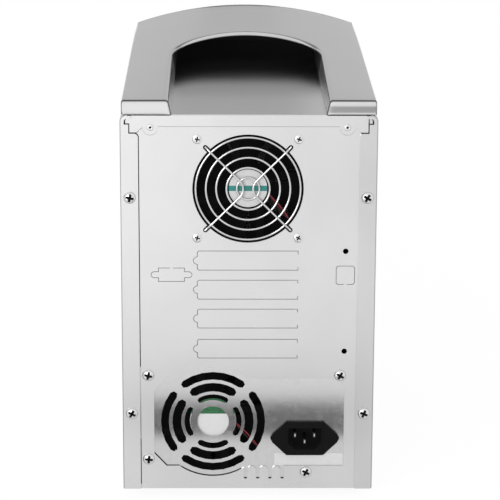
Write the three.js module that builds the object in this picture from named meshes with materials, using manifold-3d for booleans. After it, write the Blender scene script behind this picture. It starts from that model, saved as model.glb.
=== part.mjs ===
// A tower that copies CDs and DVDs: a controller and four optical drives, one above the other, in a
// steel case with a moulded handle cap on top, a fan and a power supply at the back.
//
// Frame: millimetres, +Z up, the drives face -Y, the origin on the ground under the middle of the tower.
// The case is built in its own group, where y = 0 is the plane of its back, y falls towards the front and
// z = 0 is the lower edge of its panels.
import * as THREE from 'three';
import { mergeVertices } from 'three/addons/utils/BufferGeometryUtils.js';
import Module from 'manifold-3d';

// Clearances and construction
const seat = 0.1; // between flat faces that rest on each other
const fit = 0.3; // round a piece in its opening
const overrun = 4; // how far a cutter runs past what it cuts
const weldDistance = 0.0001; // corners closer than this are one corner
const sheet = 1; // steel sheet

// Drive bays, from the lowest drive up, the controller in the topmost
const bayBottom = 60;
const bayGap = 1; // between one drive and the next
const driveCount = 4;
const driveWidth = 146;
const driveHeight = 41.3;
const driveDepth = 170;
const faceLip = 1; // how far a faceplate reaches past the drive's sides
const faceSeam = 0.3; // between one faceplate and the next
const faceThickness = 5;
const faceGap = 0.4; // round the row of faceplates
const cheekGap = 0.6; // from a drive's side to the cage
const cheekFlange = 9;
const cheekSetback = 8; // from the power supply to the cage
const cheekSlotLength = 12;
const cheekSlotRadius = 2;
const cheekSlotShares = [0.3, 0.7]; // of the cheek's length

// Case: as wide as the drives and the power supply need, as high as the bays, as deep as what lies in it
const driveSideRoom = 17.35; // from a drive's side to the side of the case
const supplyInset = 12.65; // from the side of the case to the power supply
const supplyFarRoom = 18.05; // on the power supply's other side
const headroom = 7; // from the topmost bay to the top of the case
const cableRoom = 20.8; // from the power supply to the drives
const bezelDepth = 17;
const footHeight = 6;

// Side covers: the flange turned round the back, its notch at the top, and the bend into the top flange
const backFlangeWidth = 12.7;
const flangeShoulderDrop = 12.9; // below the top of the case
const flangeShoulderRadius = 2.7;
const flangeNotchWidth = 6.4;
const flangeEndDrop = 7; // below the top of the case
const coverBend = 5;
const coverTopFlange = 13;
const coverBottomFlange = 12;

// Pan-head screws: side covers and power supply
const screwHeadRadius = 3.9;
const screwHeadHeight = 2.2;
const screwShankRadius = 1.5;
const screwShankLength = 5;
const crossLength = 4.4;
const crossWidth = 1;
const crossDepth = 1.2;
const headBrimShare = 0.95; // of the head's radius, where its dome begins
const headBrimRiseShare = 0.45; // of the head's height
const headTopShare = 0.6; // of the head's radius, at the top of its dome
const coverScrewInset = 6.65; // from the side of the case
const coverScrewDrop = 59.6; // the upper ones, below the top of the case
const coverScrewRise = 58.2; // the lower ones

// Top panel: its turned-down back flange, with a lobe round each blind rivet
const topFlangeDrop = 8.6;
const seam = 0.2;
const rivetInset = 21.35; // from the side of the case
const rivetDrop = 9.3; // below the top of the case
const rivetHeadRadius = 2.8;
const rivetTopRadius = 2;
const rivetHeadHeight = 0.7;
const rivetBore = 1;
const rivetLobe = 5.4;
const rivetLobeReach = 8.1; // from the rivet to where the lobe runs out
const joggleRun = 2; // the slope of the step down to the edge that lies under a cover's flange

// Handle cap: two legs and a hood whose crown rises in step with the distance from the back
const capInset = 1.025; // from the side of the case
const capLegHeight = 10;
const capLegWidth = 33.3;
const capHoodReach = 173.2; // from the front to where the hand-hold's round end begins
const capCrestReach = 21; // from the front to the crest line, where the crown is highest
const capGripReach = 36; // from the front to the end of the hand's room under the hood
const capCrownRise = 16.7;
const capCrownDrop = 15.385; // how far the crown falls to the cap's sides
const capWall = 2.6;
const capEdge = 1.8; // rounding of the top edges
const capEdgeShare = 0.3; // of that rounding, where its steep part ends
const capDraft = 1.8; // lean of the hand-hold's walls, over their height
const capNoseDrop = 9;
const capNoseStraightShare = 0.45; // of the nose's drop, an even slope
const capNoseStepShares = [0.35, 0.7, 1]; // of the way from the crest line to the outline
const capNosePower = 4; // how late along the sides the nose's drop sets in
const capRib = 2;
const capRibCount = 5;

// Fans, both of the 80 mm size
const fanSize = 80;
const fanDepth = 25;
const fanCorner = 4;
const fanRim = 1.8; // from the bore to the frame's side
const fanScrewInset = 4.25; // from the frame's side
const fanScrewHole = 2.2;
const fanPlateRecess = 0.8; // the motor's plate, below the frame's face
const fanPlateThickness = 3;
const fanStrutWidth = 5;
const fanStrutOffset = 8.6; // the struts pass the axis at this distance
const fanRunningGap = 0.7;
const fanRotorHub = 15;
const fanRotorDepth = 17;
const fanTipGap = 0.9;
const fanBladeCount = 7;
const fanBladeThickness = 1.2;
const fanRootChord = 15;
const fanTipChord = 20;
const fanRootPitch = 50; // degrees
const fanTipPitch = 28; // degrees
const bladeStationShares = [0, 0.5, 1]; // of the way from the blade's root to its tip

// Back fan with its opening, guard and screws
const backFanX = 0.5;
const backFanDrop = 13.5; // from the top of the case to the frame
const backFanHub = 15.5; // radius of the plate that carries the motor
const fanOpeningMargin = 1;
const guardNotchWidth = 2.6;
const guardNotchDepth = 4.4; // beyond the round opening
const guardWire = 0.78; // radius
const guardRingCount = 5;
const guardOuterInset = 1.2; // from the fan's bore to the outer ring
const guardInnerRing = 8; // radius
const guardSpokeInset = 0.6; // from the notch's end
const guardBend = 8.5; // radius of the hairpins' bends
const guardSpokeProud = 0.43; // how far the spokes stand out of the back plane
const guardBedding = 0.45; // how far a ring sinks into the spokes at a weld
const fanScrewHeadRadius = 3.3;
const fanScrewHeadHeight = 0.6;
const fanScrewShankRadius = 1.6;
const fanScrewShankLength = 8;
const fanCrossLength = 3.6;
const fanCrossWidth = 0.8;
const fanCrossDepth = 0.45;

// Knock-outs under the back fan: cards, a nine-pin socket and a square socket, and two round holes
const slitWidth = 0.45;
const cardLeftX = 36.3;
const cardWidth = 71.5;
const cardHeight = 14.1;
const cardCorner = 1;
const cardHook = 2.4;
const cardTab = 2.8; // the round tab's reach
const cardDrop = 12.4; // from the fan's frame to the middle of the first card
const cardPitch = 21.55;
const lastCardPitch = 22.6;
const nineInset = 35.7; // from the side of the case
const nineDrop = 22.85;
const nineWidth = 29.1;
const nineHeight = 9.9;
const nineBody = 18.5;
const nineEar = 4.4;
const squareInset = 21.4; // from the side of the case
const squareDrop = 23.2;
const squareWidth = 13.1;
const squareHeight = 13.6;
const squareCorner = 1.2;
const knockBridge = 2.2; // uncut sheet that holds a knock-out
const panelHoleRadius = 2;
const panelHoleRise = 17.7; // the upper hole, above the square socket
const panelLowHoleZ = 105;

// Power supply, of the usual size for a desktop computer, with a fan and the mains inlet side by side
const supplyDepth = 140;
const supplyZ = 6.8; // its underside
const supplyFanMargin = 12.5; // from its side to the fan's frame
const supplyFanTop = 1.6; // from its top to the fan's frame
const supplyFanBase = 4.4; // from its underside to the fan's frame
const supplyFanHub = 17.2; // radius of the plate that carries the motor
const supplyScrewEdge = 6; // from the nearest edge
const supplyScrewRise = 16; // of the screw at the middle of one side
const supplyScrewFar = 30; // of the lowest screw, from the other side
const grilleInset = 0.5; // from the fan's bore to the grille's outer slots
const grilleOuterSlot = 5.7;
const grilleOuterWeb = 2.6;
const grilleMiddleSlot = 6.4;
const grilleMiddleWeb = 2.3;
const grilleInnerSlot = 4.3;
const grilleInnerWeb = 4.9;
const grilleSpoke = 6; // width of the diagonal webs
const cableHoleRadius = 9;
const cableHoleInset = 22;

// Opening in the back panel for the power supply, with a round scallop about its fan
const supplyRimLeft = 10; // how far the panel laps over the supply's face
const supplyRimRight = 2.8;
const supplyRimLow = 10.7;
const supplyRimHigh = 8.4;
const scallopMargin = 3.5; // from the fan's bore
const supplyChamferX = 8.8;
const supplyChamferZ = 9.5;
const supplySmallChamferX = 5.2;
const supplySmallChamferZ = 8.3;

// Comb of round teeth in that opening's lower edge, between slots with round feet
const combOffset = 23.6; // from the fan's axis to the first slot
const combPitch = 8.9;
const combSlotCount = 4;
const combSlotDepth = 8.8; // from the edge to the middle of a slot's foot
const combSlotRadius = 1.3;
const combToothDrop = 0.3; // the teeth end this far below the edge

// Mains inlet
const inletInset = 31.05; // from the power supply's side to the inlet's middle
const inletFanGap = 1.5; // from the inlet's point to the fan's frame
const inletRise = 31.9; // above the power supply's underside
const inletWidth = 49.9;
const inletHeight = 25.2;
const inletFlat = 27; // the straight part of the upper and lower edges
const inletNose = 3; // rounding of the two points
const inletFlange = 1.9;
const inletBlockWidth = 25.6;
const inletBlockHeight = 25;
const inletBlockProud = 0.8; // above the flange
const inletBodyWidth = 28;
const inletBodyHeight = 20.4;
const inletBodyDepth = 22;
const socketWidth = 24;
const socketHeight = 16.4;
const socketChamfer = 4.6;
const socketDepth = 17;
const pinWidth = 2;
const pinHeight = 4;
const pinLength = 15;
const pinPitch = 14;
const livePinRise = 1.9;
const earthPinDrop = 3;

// Tray of a drive
const trayFrontMargin = 8.3; // from the faceplate's side
const trayFrontHeight = 14.4;
const trayFrontDrop = 14.3; // its middle, below the drive's top
const traySideRoom = 9; // from the drive's side
const trayEndRoom = 20; // from the tray's end to the drive's back
const trayThickness = 6;
const traySink = 3; // middle of the tray below that of its front
const trayRail = 6; // how far each rail reaches under the tray
const discRecess = 60.5; // radius
const discRecessDepth = 2;
const smallDiscRecess = 41;
const smallDiscDepth = 1.2;
const pickupWidth = 34;
const pickupReach = 12; // how far the opening for the pickup runs in front of the disc's middle
const discSetback = 66; // from the tray's front face to the disc's middle

// Buttons: eject, controller and power
const ejectWidth = 11;
const ejectHeight = 4.2;
const ejectInset = 17; // from the faceplate's side
const ejectZ = 9;
const ejectProud = 0.8;
const ejectTravel = 1;
const keyRadius = 4.8;
const keyInset = 12; // of the last key, from the faceplate's side
const keyPitch = 14;
const keyCount = 4;
const keyProud = 1.2;
const keyTravel = 1;
const keyEdgeShare = 0.125; // of a round button's radius, the chamfer of its edge
const powerRadius = 8;
const powerInset = 32.35; // from the side of the case
const powerZ = 30;
const powerProud = 2;
const powerTravel = 1.5;
const powerBackRoom = 3.5; // behind the pressed button, up to the front frame

// Controller module
const controllerDepth = 60;
const displayInset = 9; // from the faceplate's side
const displayKeyRoom = 19; // from the display to the middle of the first key
const displayHeight = 22;
const displayThickness = 1.6;

// Front bezel and front frame
const bezelWall = 2.6;
const bezelStepDown = 0.6; // its top lies this far below the cap's nose
const bezelEdge = 2.4; // chamfer round its front
const bezelCorner = 4;
const baySurround = 2;
const frameOpeningMargin = 1;
const frameFlange = 10;

// Base pan and feet
const panLip = 12;
const footTopRadius = 10;
const footBottomRadius = 8;
const footInsetX = 24;
const footInsetBack = 32;
const footInsetFront = 30;

// Steps round a full turn
const cornerTurn = 2; // in each quarter of a rounded outline
const coarseTurn = 8;
const smallTurn = 12;
const turn = 24;
const fineTurn = 40;
const slotSteps = 6; // along a grille slot
const slotEndSteps = 3;
const toothSteps = 6;
const wireSides = 5;
const spokeSteps = 20;
const capArchSteps = 8;
const capSideSteps = 4;
const crownSteps = 3;
const hollowAcrossSteps = 4;
const hollowAlongSteps = 3;

// Colours
const caseSteel = { color: 0xd0d0ce, roughness: 0.4, metalness: 0.85 };
const zincSteel = { color: 0xb9bab8, roughness: 0.4, metalness: 0.8 };
const silverMoulding = { color: 0xb6b6b5, roughness: 0.42, metalness: 0.6 };
const whiteMoulding = { color: 0xdededb, roughness: 0.5, metalness: 0 };
const blackMoulding = { color: 0x141415, roughness: 0.45, metalness: 0 };
const darkMoulding = { color: 0x202124, roughness: 0.4, metalness: 0 };
const chromeWire = { color: 0xd9dadb, roughness: 0.15, metalness: 1 };
const screwSteel = { color: 0xc4c5c3, roughness: 0.35, metalness: 0.9 };
const displayGlass = { color: 0x34506a, roughness: 0.1, metalness: 0 };
const rubber = { color: 0x1c1c1c, roughness: 0.8, metalness: 0 };

// Power supply and case, worked out from what they hold
const supplyWidth = supplyFanMargin + fanSize + inletFanGap + inletWidth / 2 + inletInset;
const supplyHeight = supplyFanBase + fanSize + supplyFanTop;
const bayPitch = driveHeight + bayGap;
const bayTop = bayBottom + (driveCount + 1) * bayPitch;
const caseWidth = Math.max(driveWidth + 2 * driveSideRoom, supplyInset + supplyWidth + supplyFarRoom);
const caseHeight = bayTop + headroom;
const halfWidth = caseWidth / 2;
const insideHalf = halfWidth - sheet - fit; // room between the side covers
const panelOuterY = -(sheet + seat); // the back panel lies inside the covers' flanges
const panelInnerY = panelOuterY - sheet;
const supplyFaceY = panelInnerY - seat;
const driveFaceDepth = supplyDepth - supplyFaceY + cableRoom + driveDepth; // from the back plane
const coverDepth = driveFaceDepth + faceThickness - bezelDepth; // side covers, from the back plane
const frameOuterY = -coverDepth;
const frameInnerY = frameOuterY + sheet;
const caseInnerFrontY = frameInnerY + seat;
const bezelBackY = -(coverDepth + seat);
const frontY = bezelBackY - bezelDepth;
const panZ = sheet + seat; // the base pan lies on the covers' bottom flanges
const panTopZ = panZ + sheet;

// Places at the back
const supplyLeftX = halfWidth - supplyInset;
const supplyRightX = supplyLeftX - supplyWidth;
const supplyFanX = supplyLeftX - supplyFanMargin - fanSize / 2;
const supplyFanZ = supplyZ + supplyFanBase + fanSize / 2;
const supplyFanY = supplyFaceY - sheet - seat;
const inletX = supplyRightX + inletInset;
const inletZ = supplyZ + inletRise;
const backFanY = panelInnerY - seat;
const backFanZ = caseHeight - backFanDrop - fanSize / 2;
const backFanLowZ = backFanZ - fanSize / 2;
const fanBore = fanSize / 2 - fanRim; // radius
const fanScrewReach = fanSize / 2 - fanScrewInset;
const backFanOpening = fanBore + fanOpeningMargin; // radius
const guardNotchReach = backFanOpening + guardNotchDepth;
const guardOuterRing = fanBore - guardOuterInset; // radius
const supplyOpening = {
  left: supplyLeftX - supplyRimLeft,
  right: supplyRightX + supplyRimRight,
  low: supplyZ + supplyRimLow,
  high: supplyZ + supplyHeight - supplyRimHigh,
  scallop: fanBore + scallopMargin,
};
const rivetX = halfWidth - rivetInset;
const coverScrewX = halfWidth - coverScrewInset;
const coverScrewHeights = [coverScrewRise, caseHeight - coverScrewDrop];
const cardTopZ = backFanLowZ - cardDrop;
const cardCount = Math.floor((cardTopZ - supplyOpening.high) / cardPitch); // as many as the room takes
const nineX = halfWidth - nineInset;
const nineZ = backFanLowZ - nineDrop;
const squareX = squareInset - halfWidth;
const squareZ = backFanLowZ - squareDrop;
const panelHoleHeights = [squareZ + panelHoleRise, panelLowHoleZ];

// Places at the front
const faceWidth = driveWidth + 2 * faceLip;
const faceHeight = bayPitch - faceSeam;
const cheekX = driveWidth / 2 + cheekGap; // inner face
const cheekBack = supplyDepth + cheekSetback; // from the back plane
const trayFrontWidth = faceWidth - 2 * trayFrontMargin;
const trayFrontZ = driveHeight - trayFrontDrop; // above the drive's underside
const trayWidth = driveWidth - 2 * traySideRoom;
const trayLength = driveDepth - trayEndRoom;
const ejectX = faceWidth / 2 - ejectInset;
const powerX = halfWidth - powerInset;
const powerLength = bezelDepth + powerProud - powerTravel - powerBackRoom;
const keyFirstX = faceWidth / 2 - keyInset - (keyCount - 1) * keyPitch;
const displayLeftX = displayInset - faceWidth / 2;
const displayWidth = keyFirstX - displayKeyRoom - displayLeftX;
const displayX = displayLeftX + displayWidth / 2;

// Places of the handle cap
const capHalf = halfWidth - capInset;
const capBottomZ = caseHeight + seat;
const gripHalf = capHalf - capLegWidth;
const capHoodStart = coverDepth - capHoodReach; // from the back plane
const capCrest = coverDepth - capCrestReach;
const capGripDepth = coverDepth - capGripReach;
const capCrownRadius = (capCrownDrop ** 2 + capHalf ** 2) / (2 * capCrownDrop);

const wasm = await Module();
wasm.setup();

// Turns a closed geometry into a solid, with shared corners, no empty triangles and its faces outwards.
function solidOf(geometry) {
  const bare = geometry.clone();
  bare.deleteAttribute('normal');
  bare.deleteAttribute('uv');
  const merged = mergeVertices(bare, weldDistance);
  const places = merged.attributes.position;
  const corner = (i) => new THREE.Vector3().fromBufferAttribute(places, i);
  const triangles = [];
  let volume = 0;
  for (let i = 0; i < merged.index.count; i += 3) {
    const [a, b, c] = [0, 1, 2].map((k) => merged.index.getX(i + k));
    if (a === b || b === c || c === a) continue;
    triangles.push([a, b, c]);
    volume += corner(a).dot(corner(b).cross(corner(c)));
  }
  const outward = volume < 0 ? triangles.map(([a, b, c]) => [a, c, b]) : triangles;
  const vertProperties = new Float32Array(places.array);
  const triVerts = new Uint32Array(outward.flat());
  return new wasm.Manifold(new wasm.Mesh({ numProp: 3, vertProperties, triVerts }));
}

function geometryOf(solid) {
  const mesh = solid.getMesh();
  const geometry = new THREE.BufferGeometry();
  geometry.setAttribute('position', new THREE.BufferAttribute(mesh.vertProperties, mesh.numProp));
  geometry.setIndex(new THREE.BufferAttribute(mesh.triVerts, 1));
  geometry.computeVertexNormals();
  return geometry;
}

const join = (solids) => solids.reduce((sum, next) => sum.add(next));
const cut = (solid, cutters) => cutters.reduce((rest, next) => rest.subtract(next), solid);

// A box between two corners.
function block(x0, x1, y0, y1, z0, z1) {
  const geometry = new THREE.BoxGeometry(Math.abs(x1 - x0), Math.abs(y1 - y0), Math.abs(z1 - z0));
  return solidOf(geometry.translate((x0 + x1) / 2, (y0 + y1) / 2, (z0 + z1) / 2));
}

// Extrudes an outline drawn in (x, z) between two planes of y.
function alongY(shape, y0, y1, steps = smallTurn) {
  const depth = Math.abs(y1 - y0);
  const geometry = new THREE.ExtrudeGeometry(shape, { depth, bevelEnabled: false, curveSegments: steps / 2 });
  return solidOf(geometry.rotateX(Math.PI / 2).translate(0, Math.max(y0, y1), 0));
}

// Extrudes an outline drawn in (y, z) between two planes of x.
function alongX(shape, x0, x1, steps = smallTurn) {
  const depth = Math.abs(x1 - x0);
  const geometry = new THREE.ExtrudeGeometry(shape, { depth, bevelEnabled: false, curveSegments: steps / 2 });
  const axes = [new THREE.Vector3(0, 1, 0), new THREE.Vector3(0, 0, 1), new THREE.Vector3(1, 0, 0)];
  const standing = new THREE.Matrix4().makeBasis(...axes);
  return solidOf(geometry.applyMatrix4(standing).translate(Math.min(x0, x1), 0, 0));
}

// Extrudes an outline drawn in (x, y) between two planes of z.
function alongZ(shape, z0, z1, steps = smallTurn) {
  const depth = Math.abs(z1 - z0);
  const geometry = new THREE.ExtrudeGeometry(shape, { depth, bevelEnabled: false, curveSegments: steps / 2 });
  return solidOf(geometry.translate(0, 0, Math.min(z0, z1)));
}

function discShape(x, z, radius) {
  const shape = new THREE.Shape();
  shape.absarc(x, z, radius, 0, 2 * Math.PI);
  return shape;
}

function polygonShape(points) {
  return new THREE.Shape(points.map(([x, z]) => new THREE.Vector2(x, z)));
}

// Points along an arc, both ends included.
function arcPoints(x, z, radius, from, to, steps) {
  return Array.from({ length: steps + 1 }, (_, i) => {
    const angle = from + (to - from) * i / steps;
    return [x + radius * Math.cos(angle), z + radius * Math.sin(angle)];
  });
}

function roundedShape(x0, x1, z0, z1, radius) {
  const shape = new THREE.Shape();
  shape.absarc(x1 - radius, z0 + radius, radius, -Math.PI / 2, 0);
  shape.absarc(x1 - radius, z1 - radius, radius, 0, Math.PI / 2);
  shape.absarc(x0 + radius, z1 - radius, radius, Math.PI / 2, Math.PI);
  shape.absarc(x0 + radius, z0 + radius, radius, Math.PI, 1.5 * Math.PI);
  return shape;
}

// A slot with round ends about (x, z), its length along x.
function slotShape(x, z, length, radius) {
  return roundedShape(x - length / 2, x + length / 2, z - radius, z + radius, radius);
}

// The outline of a cut of one width along an open line of points.
function slitShape(points, width) {
  const sides = [[], []];
  points.forEach((point, i) => {
    const before = points[Math.max(i - 1, 0)];
    const after = points[Math.min(i + 1, points.length - 1)];
    const into = point === before ? after.clone().sub(point) : point.clone().sub(before);
    const out = point === after ? point.clone().sub(before) : after.clone().sub(point);
    const mitre = into.normalize().add(out.normalize()).normalize();
    const reach = width / 2 / mitre.dot(out);
    const across = new THREE.Vector2(-mitre.y, mitre.x).multiplyScalar(reach);
    sides[0].push(point.clone().add(across));
    sides[1].unshift(point.clone().sub(across));
  });
  return new THREE.Shape([...sides[0], ...sides[1]]);
}

// Joins rings of equally many points into a closed solid with flat ends.
function loft(rings) {
  const count = rings[0].length;
  const positions = rings.flat().flatMap((p) => [p.x, p.y, p.z]);
  const index = [];
  for (let i = 0; i < rings.length - 1; i += 1) {
    for (let j = 0; j < count; j += 1) {
      const a = i * count + j;
      const b = i * count + ((j + 1) % count);
      index.push(a, b, b + count, a, b + count, a + count);
    }
  }
  const last = (rings.length - 1) * count;
  for (let j = 1; j < count - 1; j += 1) {
    index.push(0, j + 1, j, last, last + j, last + j + 1);
  }
  const geometry = new THREE.BufferGeometry();
  geometry.setAttribute('position', new THREE.Float32BufferAttribute(positions, 3));
  geometry.setIndex(index);
  return solidOf(geometry);
}

// A solid of revolution about y. The profile's points are (radius, y), from one point on the axis to another.
function turned(profile, steps) {
  return solidOf(new THREE.LatheGeometry(profile.map(([r, y]) => new THREE.Vector2(r, y)), steps));
}

// A cross recess sunk into a face at y.
function crossRecess(length, width, depth, y) {
  const top = y + overrun;
  const across = block(-length / 2, length / 2, y - depth, top, -width / 2, width / 2);
  const upright = block(-width / 2, width / 2, y - depth, top, -length / 2, length / 2);
  return across.add(upright);
}

// The tower, and the case's own group: from the tower's front to its back, screw heads and buttons included
const tower = new THREE.Group();
const inCase = new THREE.Group();
const backProud = screwHeadHeight + seat / 2;
const frontProud = powerProud;
inCase.position.set(0, (-frontY + frontProud - backProud) / 2, footHeight);
tower.add(inCase);

function place(name, solid, look, x = 0, y = 0, z = 0) {
  const mesh = new THREE.Mesh(geometryOf(solid), new THREE.MeshStandardMaterial(look));
  mesh.name = name;
  mesh.position.set(x, y, z);
  inCase.add(mesh);
}

// Places of the screws that the sheets are drilled for
const fanScrewPlaces = [-1, 1].flatMap((i) => [-1, 1].map((k) => [i * fanScrewReach, k * fanScrewReach]));
const supplyScrewPlaces = [
  [supplyLeftX - supplyScrewEdge, supplyZ + supplyHeight - supplyScrewEdge],
  [supplyRightX + supplyScrewEdge, supplyZ + supplyHeight - supplyScrewEdge],
  [supplyLeftX - supplyScrewEdge, supplyZ + supplyScrewRise],
  [supplyRightX + supplyScrewFar, supplyZ + supplyScrewEdge],
];

// Base pan: a tray of sheet whose lips stand up along the sides and the front
function basePan() {
  const backY = panelInnerY - seat;
  const floor = block(-insideHalf, insideHalf, backY, caseInnerFrontY, panZ, panTopZ);
  const lips = [-1, 1].map((side) => {
    const outer = side * insideHalf;
    return block(outer - side * sheet, outer, backY - panLip, caseInnerFrontY, panZ, panTopZ + panLip);
  });
  return join([floor, ...lips]);
}
place('base_pan', basePan(), zincSteel);

// Feet: round rubber feet with a flat top and a flat underside
function foot() {
  const top = panZ - seat + footHeight;
  const side = [[footBottomRadius, 0], [footTopRadius, footHeight], [footTopRadius, top]];
  return solidOf(geometryOf(turned([[0, 0], ...side, [0, top]], smallTurn)).rotateX(Math.PI / 2));
}
const footSolid = foot();
const footX = halfWidth - footInsetX;
const footRows = { front: frontY + footInsetFront, back: -footInsetBack };
for (const [row, y] of Object.entries(footRows)) {
  for (const [side, x] of Object.entries({ left: -footX, right: footX })) {
    place(`foot_${row}_${side}`, footSolid, rubber, x, y, -footHeight);
  }
}

// Knock-outs are slits that leave a bridge of sheet, so the blank stays in the panel
function cardSlit(z) {
  const [left, right] = [cardLeftX, cardLeftX - cardWidth];
  const [low, high] = [z - cardHeight / 2, z + cardHeight / 2];
  const line = new THREE.Path();
  line.moveTo(right, high - cardHook);
  line.lineTo(right, high);
  line.lineTo(left - cardCorner, high);
  line.lineTo(left, high - cardCorner);
  line.lineTo(left, z + cardTab);
  line.absarc(left, z, cardTab, Math.PI / 2, -Math.PI / 2, true);
  line.lineTo(left, low + cardCorner);
  line.lineTo(left - cardCorner, low);
  line.lineTo(right, low);
  line.lineTo(right, low + cardHook);
  return slitShape(line.getPoints(coarseTurn / 4), slitWidth);
}

function ninePinSlit() {
  const [half, body] = [nineWidth / 2, nineBody / 2];
  const line = new THREE.Path();
  line.moveTo(nineX - knockBridge / 2, nineZ + nineHeight / 2);
  line.lineTo(nineX - body, nineZ + nineHeight / 2);
  line.lineTo(nineX - body, nineZ + nineEar / 2);
  line.absarc(nineX - half + nineEar / 2, nineZ, nineEar / 2, Math.PI / 2, 1.5 * Math.PI);
  line.lineTo(nineX - body, nineZ - nineEar / 2);
  line.lineTo(nineX - body, nineZ - nineHeight / 2);
  line.lineTo(nineX + body, nineZ - nineHeight / 2);
  line.lineTo(nineX + body, nineZ - nineEar / 2);
  line.absarc(nineX + half - nineEar / 2, nineZ, nineEar / 2, -Math.PI / 2, Math.PI / 2);
  line.lineTo(nineX + body, nineZ + nineEar / 2);
  line.lineTo(nineX + body, nineZ + nineHeight / 2);
  line.lineTo(nineX + knockBridge / 2, nineZ + nineHeight / 2);
  return slitShape(line.getPoints(coarseTurn / 4), slitWidth);
}

function squareSlit() {
  const [halfW, halfH] = [squareWidth / 2, squareHeight / 2];
  const line = new THREE.Path();
  line.moveTo(squareX - knockBridge / 2, squareZ - halfH);
  line.lineTo(squareX - halfW + squareCorner, squareZ - halfH);
  line.lineTo(squareX - halfW, squareZ - halfH + squareCorner);
  line.lineTo(squareX - halfW, squareZ + halfH - squareCorner);
  line.lineTo(squareX - halfW + squareCorner, squareZ + halfH);
  line.lineTo(squareX + halfW - squareCorner, squareZ + halfH);
  line.lineTo(squareX + halfW, squareZ + halfH - squareCorner);
  line.lineTo(squareX + halfW, squareZ - halfH + squareCorner);
  line.lineTo(squareX + halfW - squareCorner, squareZ - halfH);
  line.lineTo(squareX + knockBridge / 2, squareZ - halfH);
  return slitShape(line.getPoints(coarseTurn / 4), slitWidth);
}

// The power supply shows through a rectangle with cut corners, joined to a round scallop
function supplyOpeningShape() {
  const { left, right, low, high } = supplyOpening;
  return polygonShape([
    [right, low],
    [left - supplyChamferX, low],
    [left, low + supplyChamferZ],
    [left, high - supplyChamferZ],
    [left - supplyChamferX, high],
    [right + supplySmallChamferX, high],
    [right, high - supplySmallChamferZ],
  ]);
}

// The comb's outline: round the foot of each slot and over each tooth, closed above the opening's edge
function combShape() {
  const feet = supplyOpening.low - combSlotDepth;
  const toothRadius = combPitch / 2 - combSlotRadius;
  const toothZ = supplyOpening.low - combToothDrop - toothRadius;
  const first = supplyFanX - combOffset;
  const last = first - (combSlotCount - 1) * combPitch;
  const outline = [];
  for (let i = 0; i < combSlotCount; i += 1) {
    const x = first - i * combPitch;
    outline.push(...arcPoints(x, feet, combSlotRadius, 0, -Math.PI, toothSteps));
    if (i < combSlotCount - 1) {
      outline.push(...arcPoints(x - combPitch / 2, toothZ, toothRadius, 0, Math.PI, toothSteps));
    }
  }
  const above = supplyOpening.low + overrun;
  return polygonShape([...outline, [last - combSlotRadius, above], [first + combSlotRadius, above]]);
}

// The back fan's opening has four diagonal notches for the ends of the guard's wires
function fanOpening(y0, y1) {
  const round = alongY(discShape(0, 0, backFanOpening), y0, y1, fineTurn);
  const reach = guardNotchReach;
  const slot = alongY(slotShape(0, 0, 2 * reach, guardNotchWidth / 2), y0, y1, cornerTurn);
  const diagonals = [1, 3].map((quarter) => {
    return solidOf(geometryOf(slot).rotateY(quarter * Math.PI / 4));
  });
  return solidOf(geometryOf(join([round, ...diagonals])).translate(backFanX, 0, backFanZ));
}

// The lower edge of the top panel's flange follows a lobe round each rivet; the seam lies just under it
function flangeEdge(drop) {
  const [low, lobeLow] = [caseHeight - topFlangeDrop - drop, caseHeight - rivetDrop - rivetLobe - drop];
  const inner = rivetX - rivetLobeReach;
  return [
    [-insideHalf, lobeLow],
    [-rivetX, lobeLow],
    [-inner, low],
    [inner, low],
    [rivetX, lobeLow],
    [insideHalf, lobeLow],
  ];
}

function backPanel() {
  const y0 = panelOuterY;
  const y1 = panelInnerY;
  const edge = flangeEdge(seam);
  const plate = alongY(polygonShape([[insideHalf, 0], ...[...edge].reverse(), [-insideHalf, 0]]), y0, y1);
  const lowFlange = block(-insideHalf, insideHalf, y1, y1 - panLip, panTopZ + seat, panTopZ + seat + sheet);
  const [c0, c1] = [y0 + overrun, y1 - overrun];
  const cards = Array.from({ length: cardCount }, (_, i) => {
    const drop = i * cardPitch + (i === cardCount - 1 ? lastCardPitch - cardPitch : 0);
    return alongY(cardSlit(cardTopZ - drop), c0, c1, coarseTurn);
  });
  const knockOuts = [ninePinSlit(), squareSlit()].map((shape) => alongY(shape, c0, c1, coarseTurn));
  const drill = (x, z, radius, steps = coarseTurn) => alongY(discShape(x, z, radius), c0, c1, steps);
  const holes = panelHoleHeights.map((z) => drill(squareX, z, panelHoleRadius, smallTurn));
  const coverHoles = [-1, 1].flatMap((side) => {
    return coverScrewHeights.map((z) => drill(side * coverScrewX, z, screwShankRadius + fit));
  });
  const fanHole = fanScrewShankRadius + fit;
  const fanHoles = fanScrewPlaces.map(([x, z]) => drill(backFanX + x, backFanZ + z, fanHole));
  const supplyHoles = supplyScrewPlaces.map(([x, z]) => drill(x, z, screwShankRadius + fit));
  const scallop = alongY(discShape(supplyFanX, supplyFanZ, supplyOpening.scallop), c0, c1, fineTurn);
  const supplyFace = [alongY(supplyOpeningShape(), c0, c1), scallop, alongY(combShape(), c0, c1)];
  const drilled = [...holes, ...coverHoles, ...fanHoles, ...supplyHoles];
  return cut(plate.add(lowFlange), [...cards, ...knockOuts, fanOpening(c0, c1), ...supplyFace, ...drilled]);
}
place('back_panel', backPanel(), caseSteel);

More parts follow.
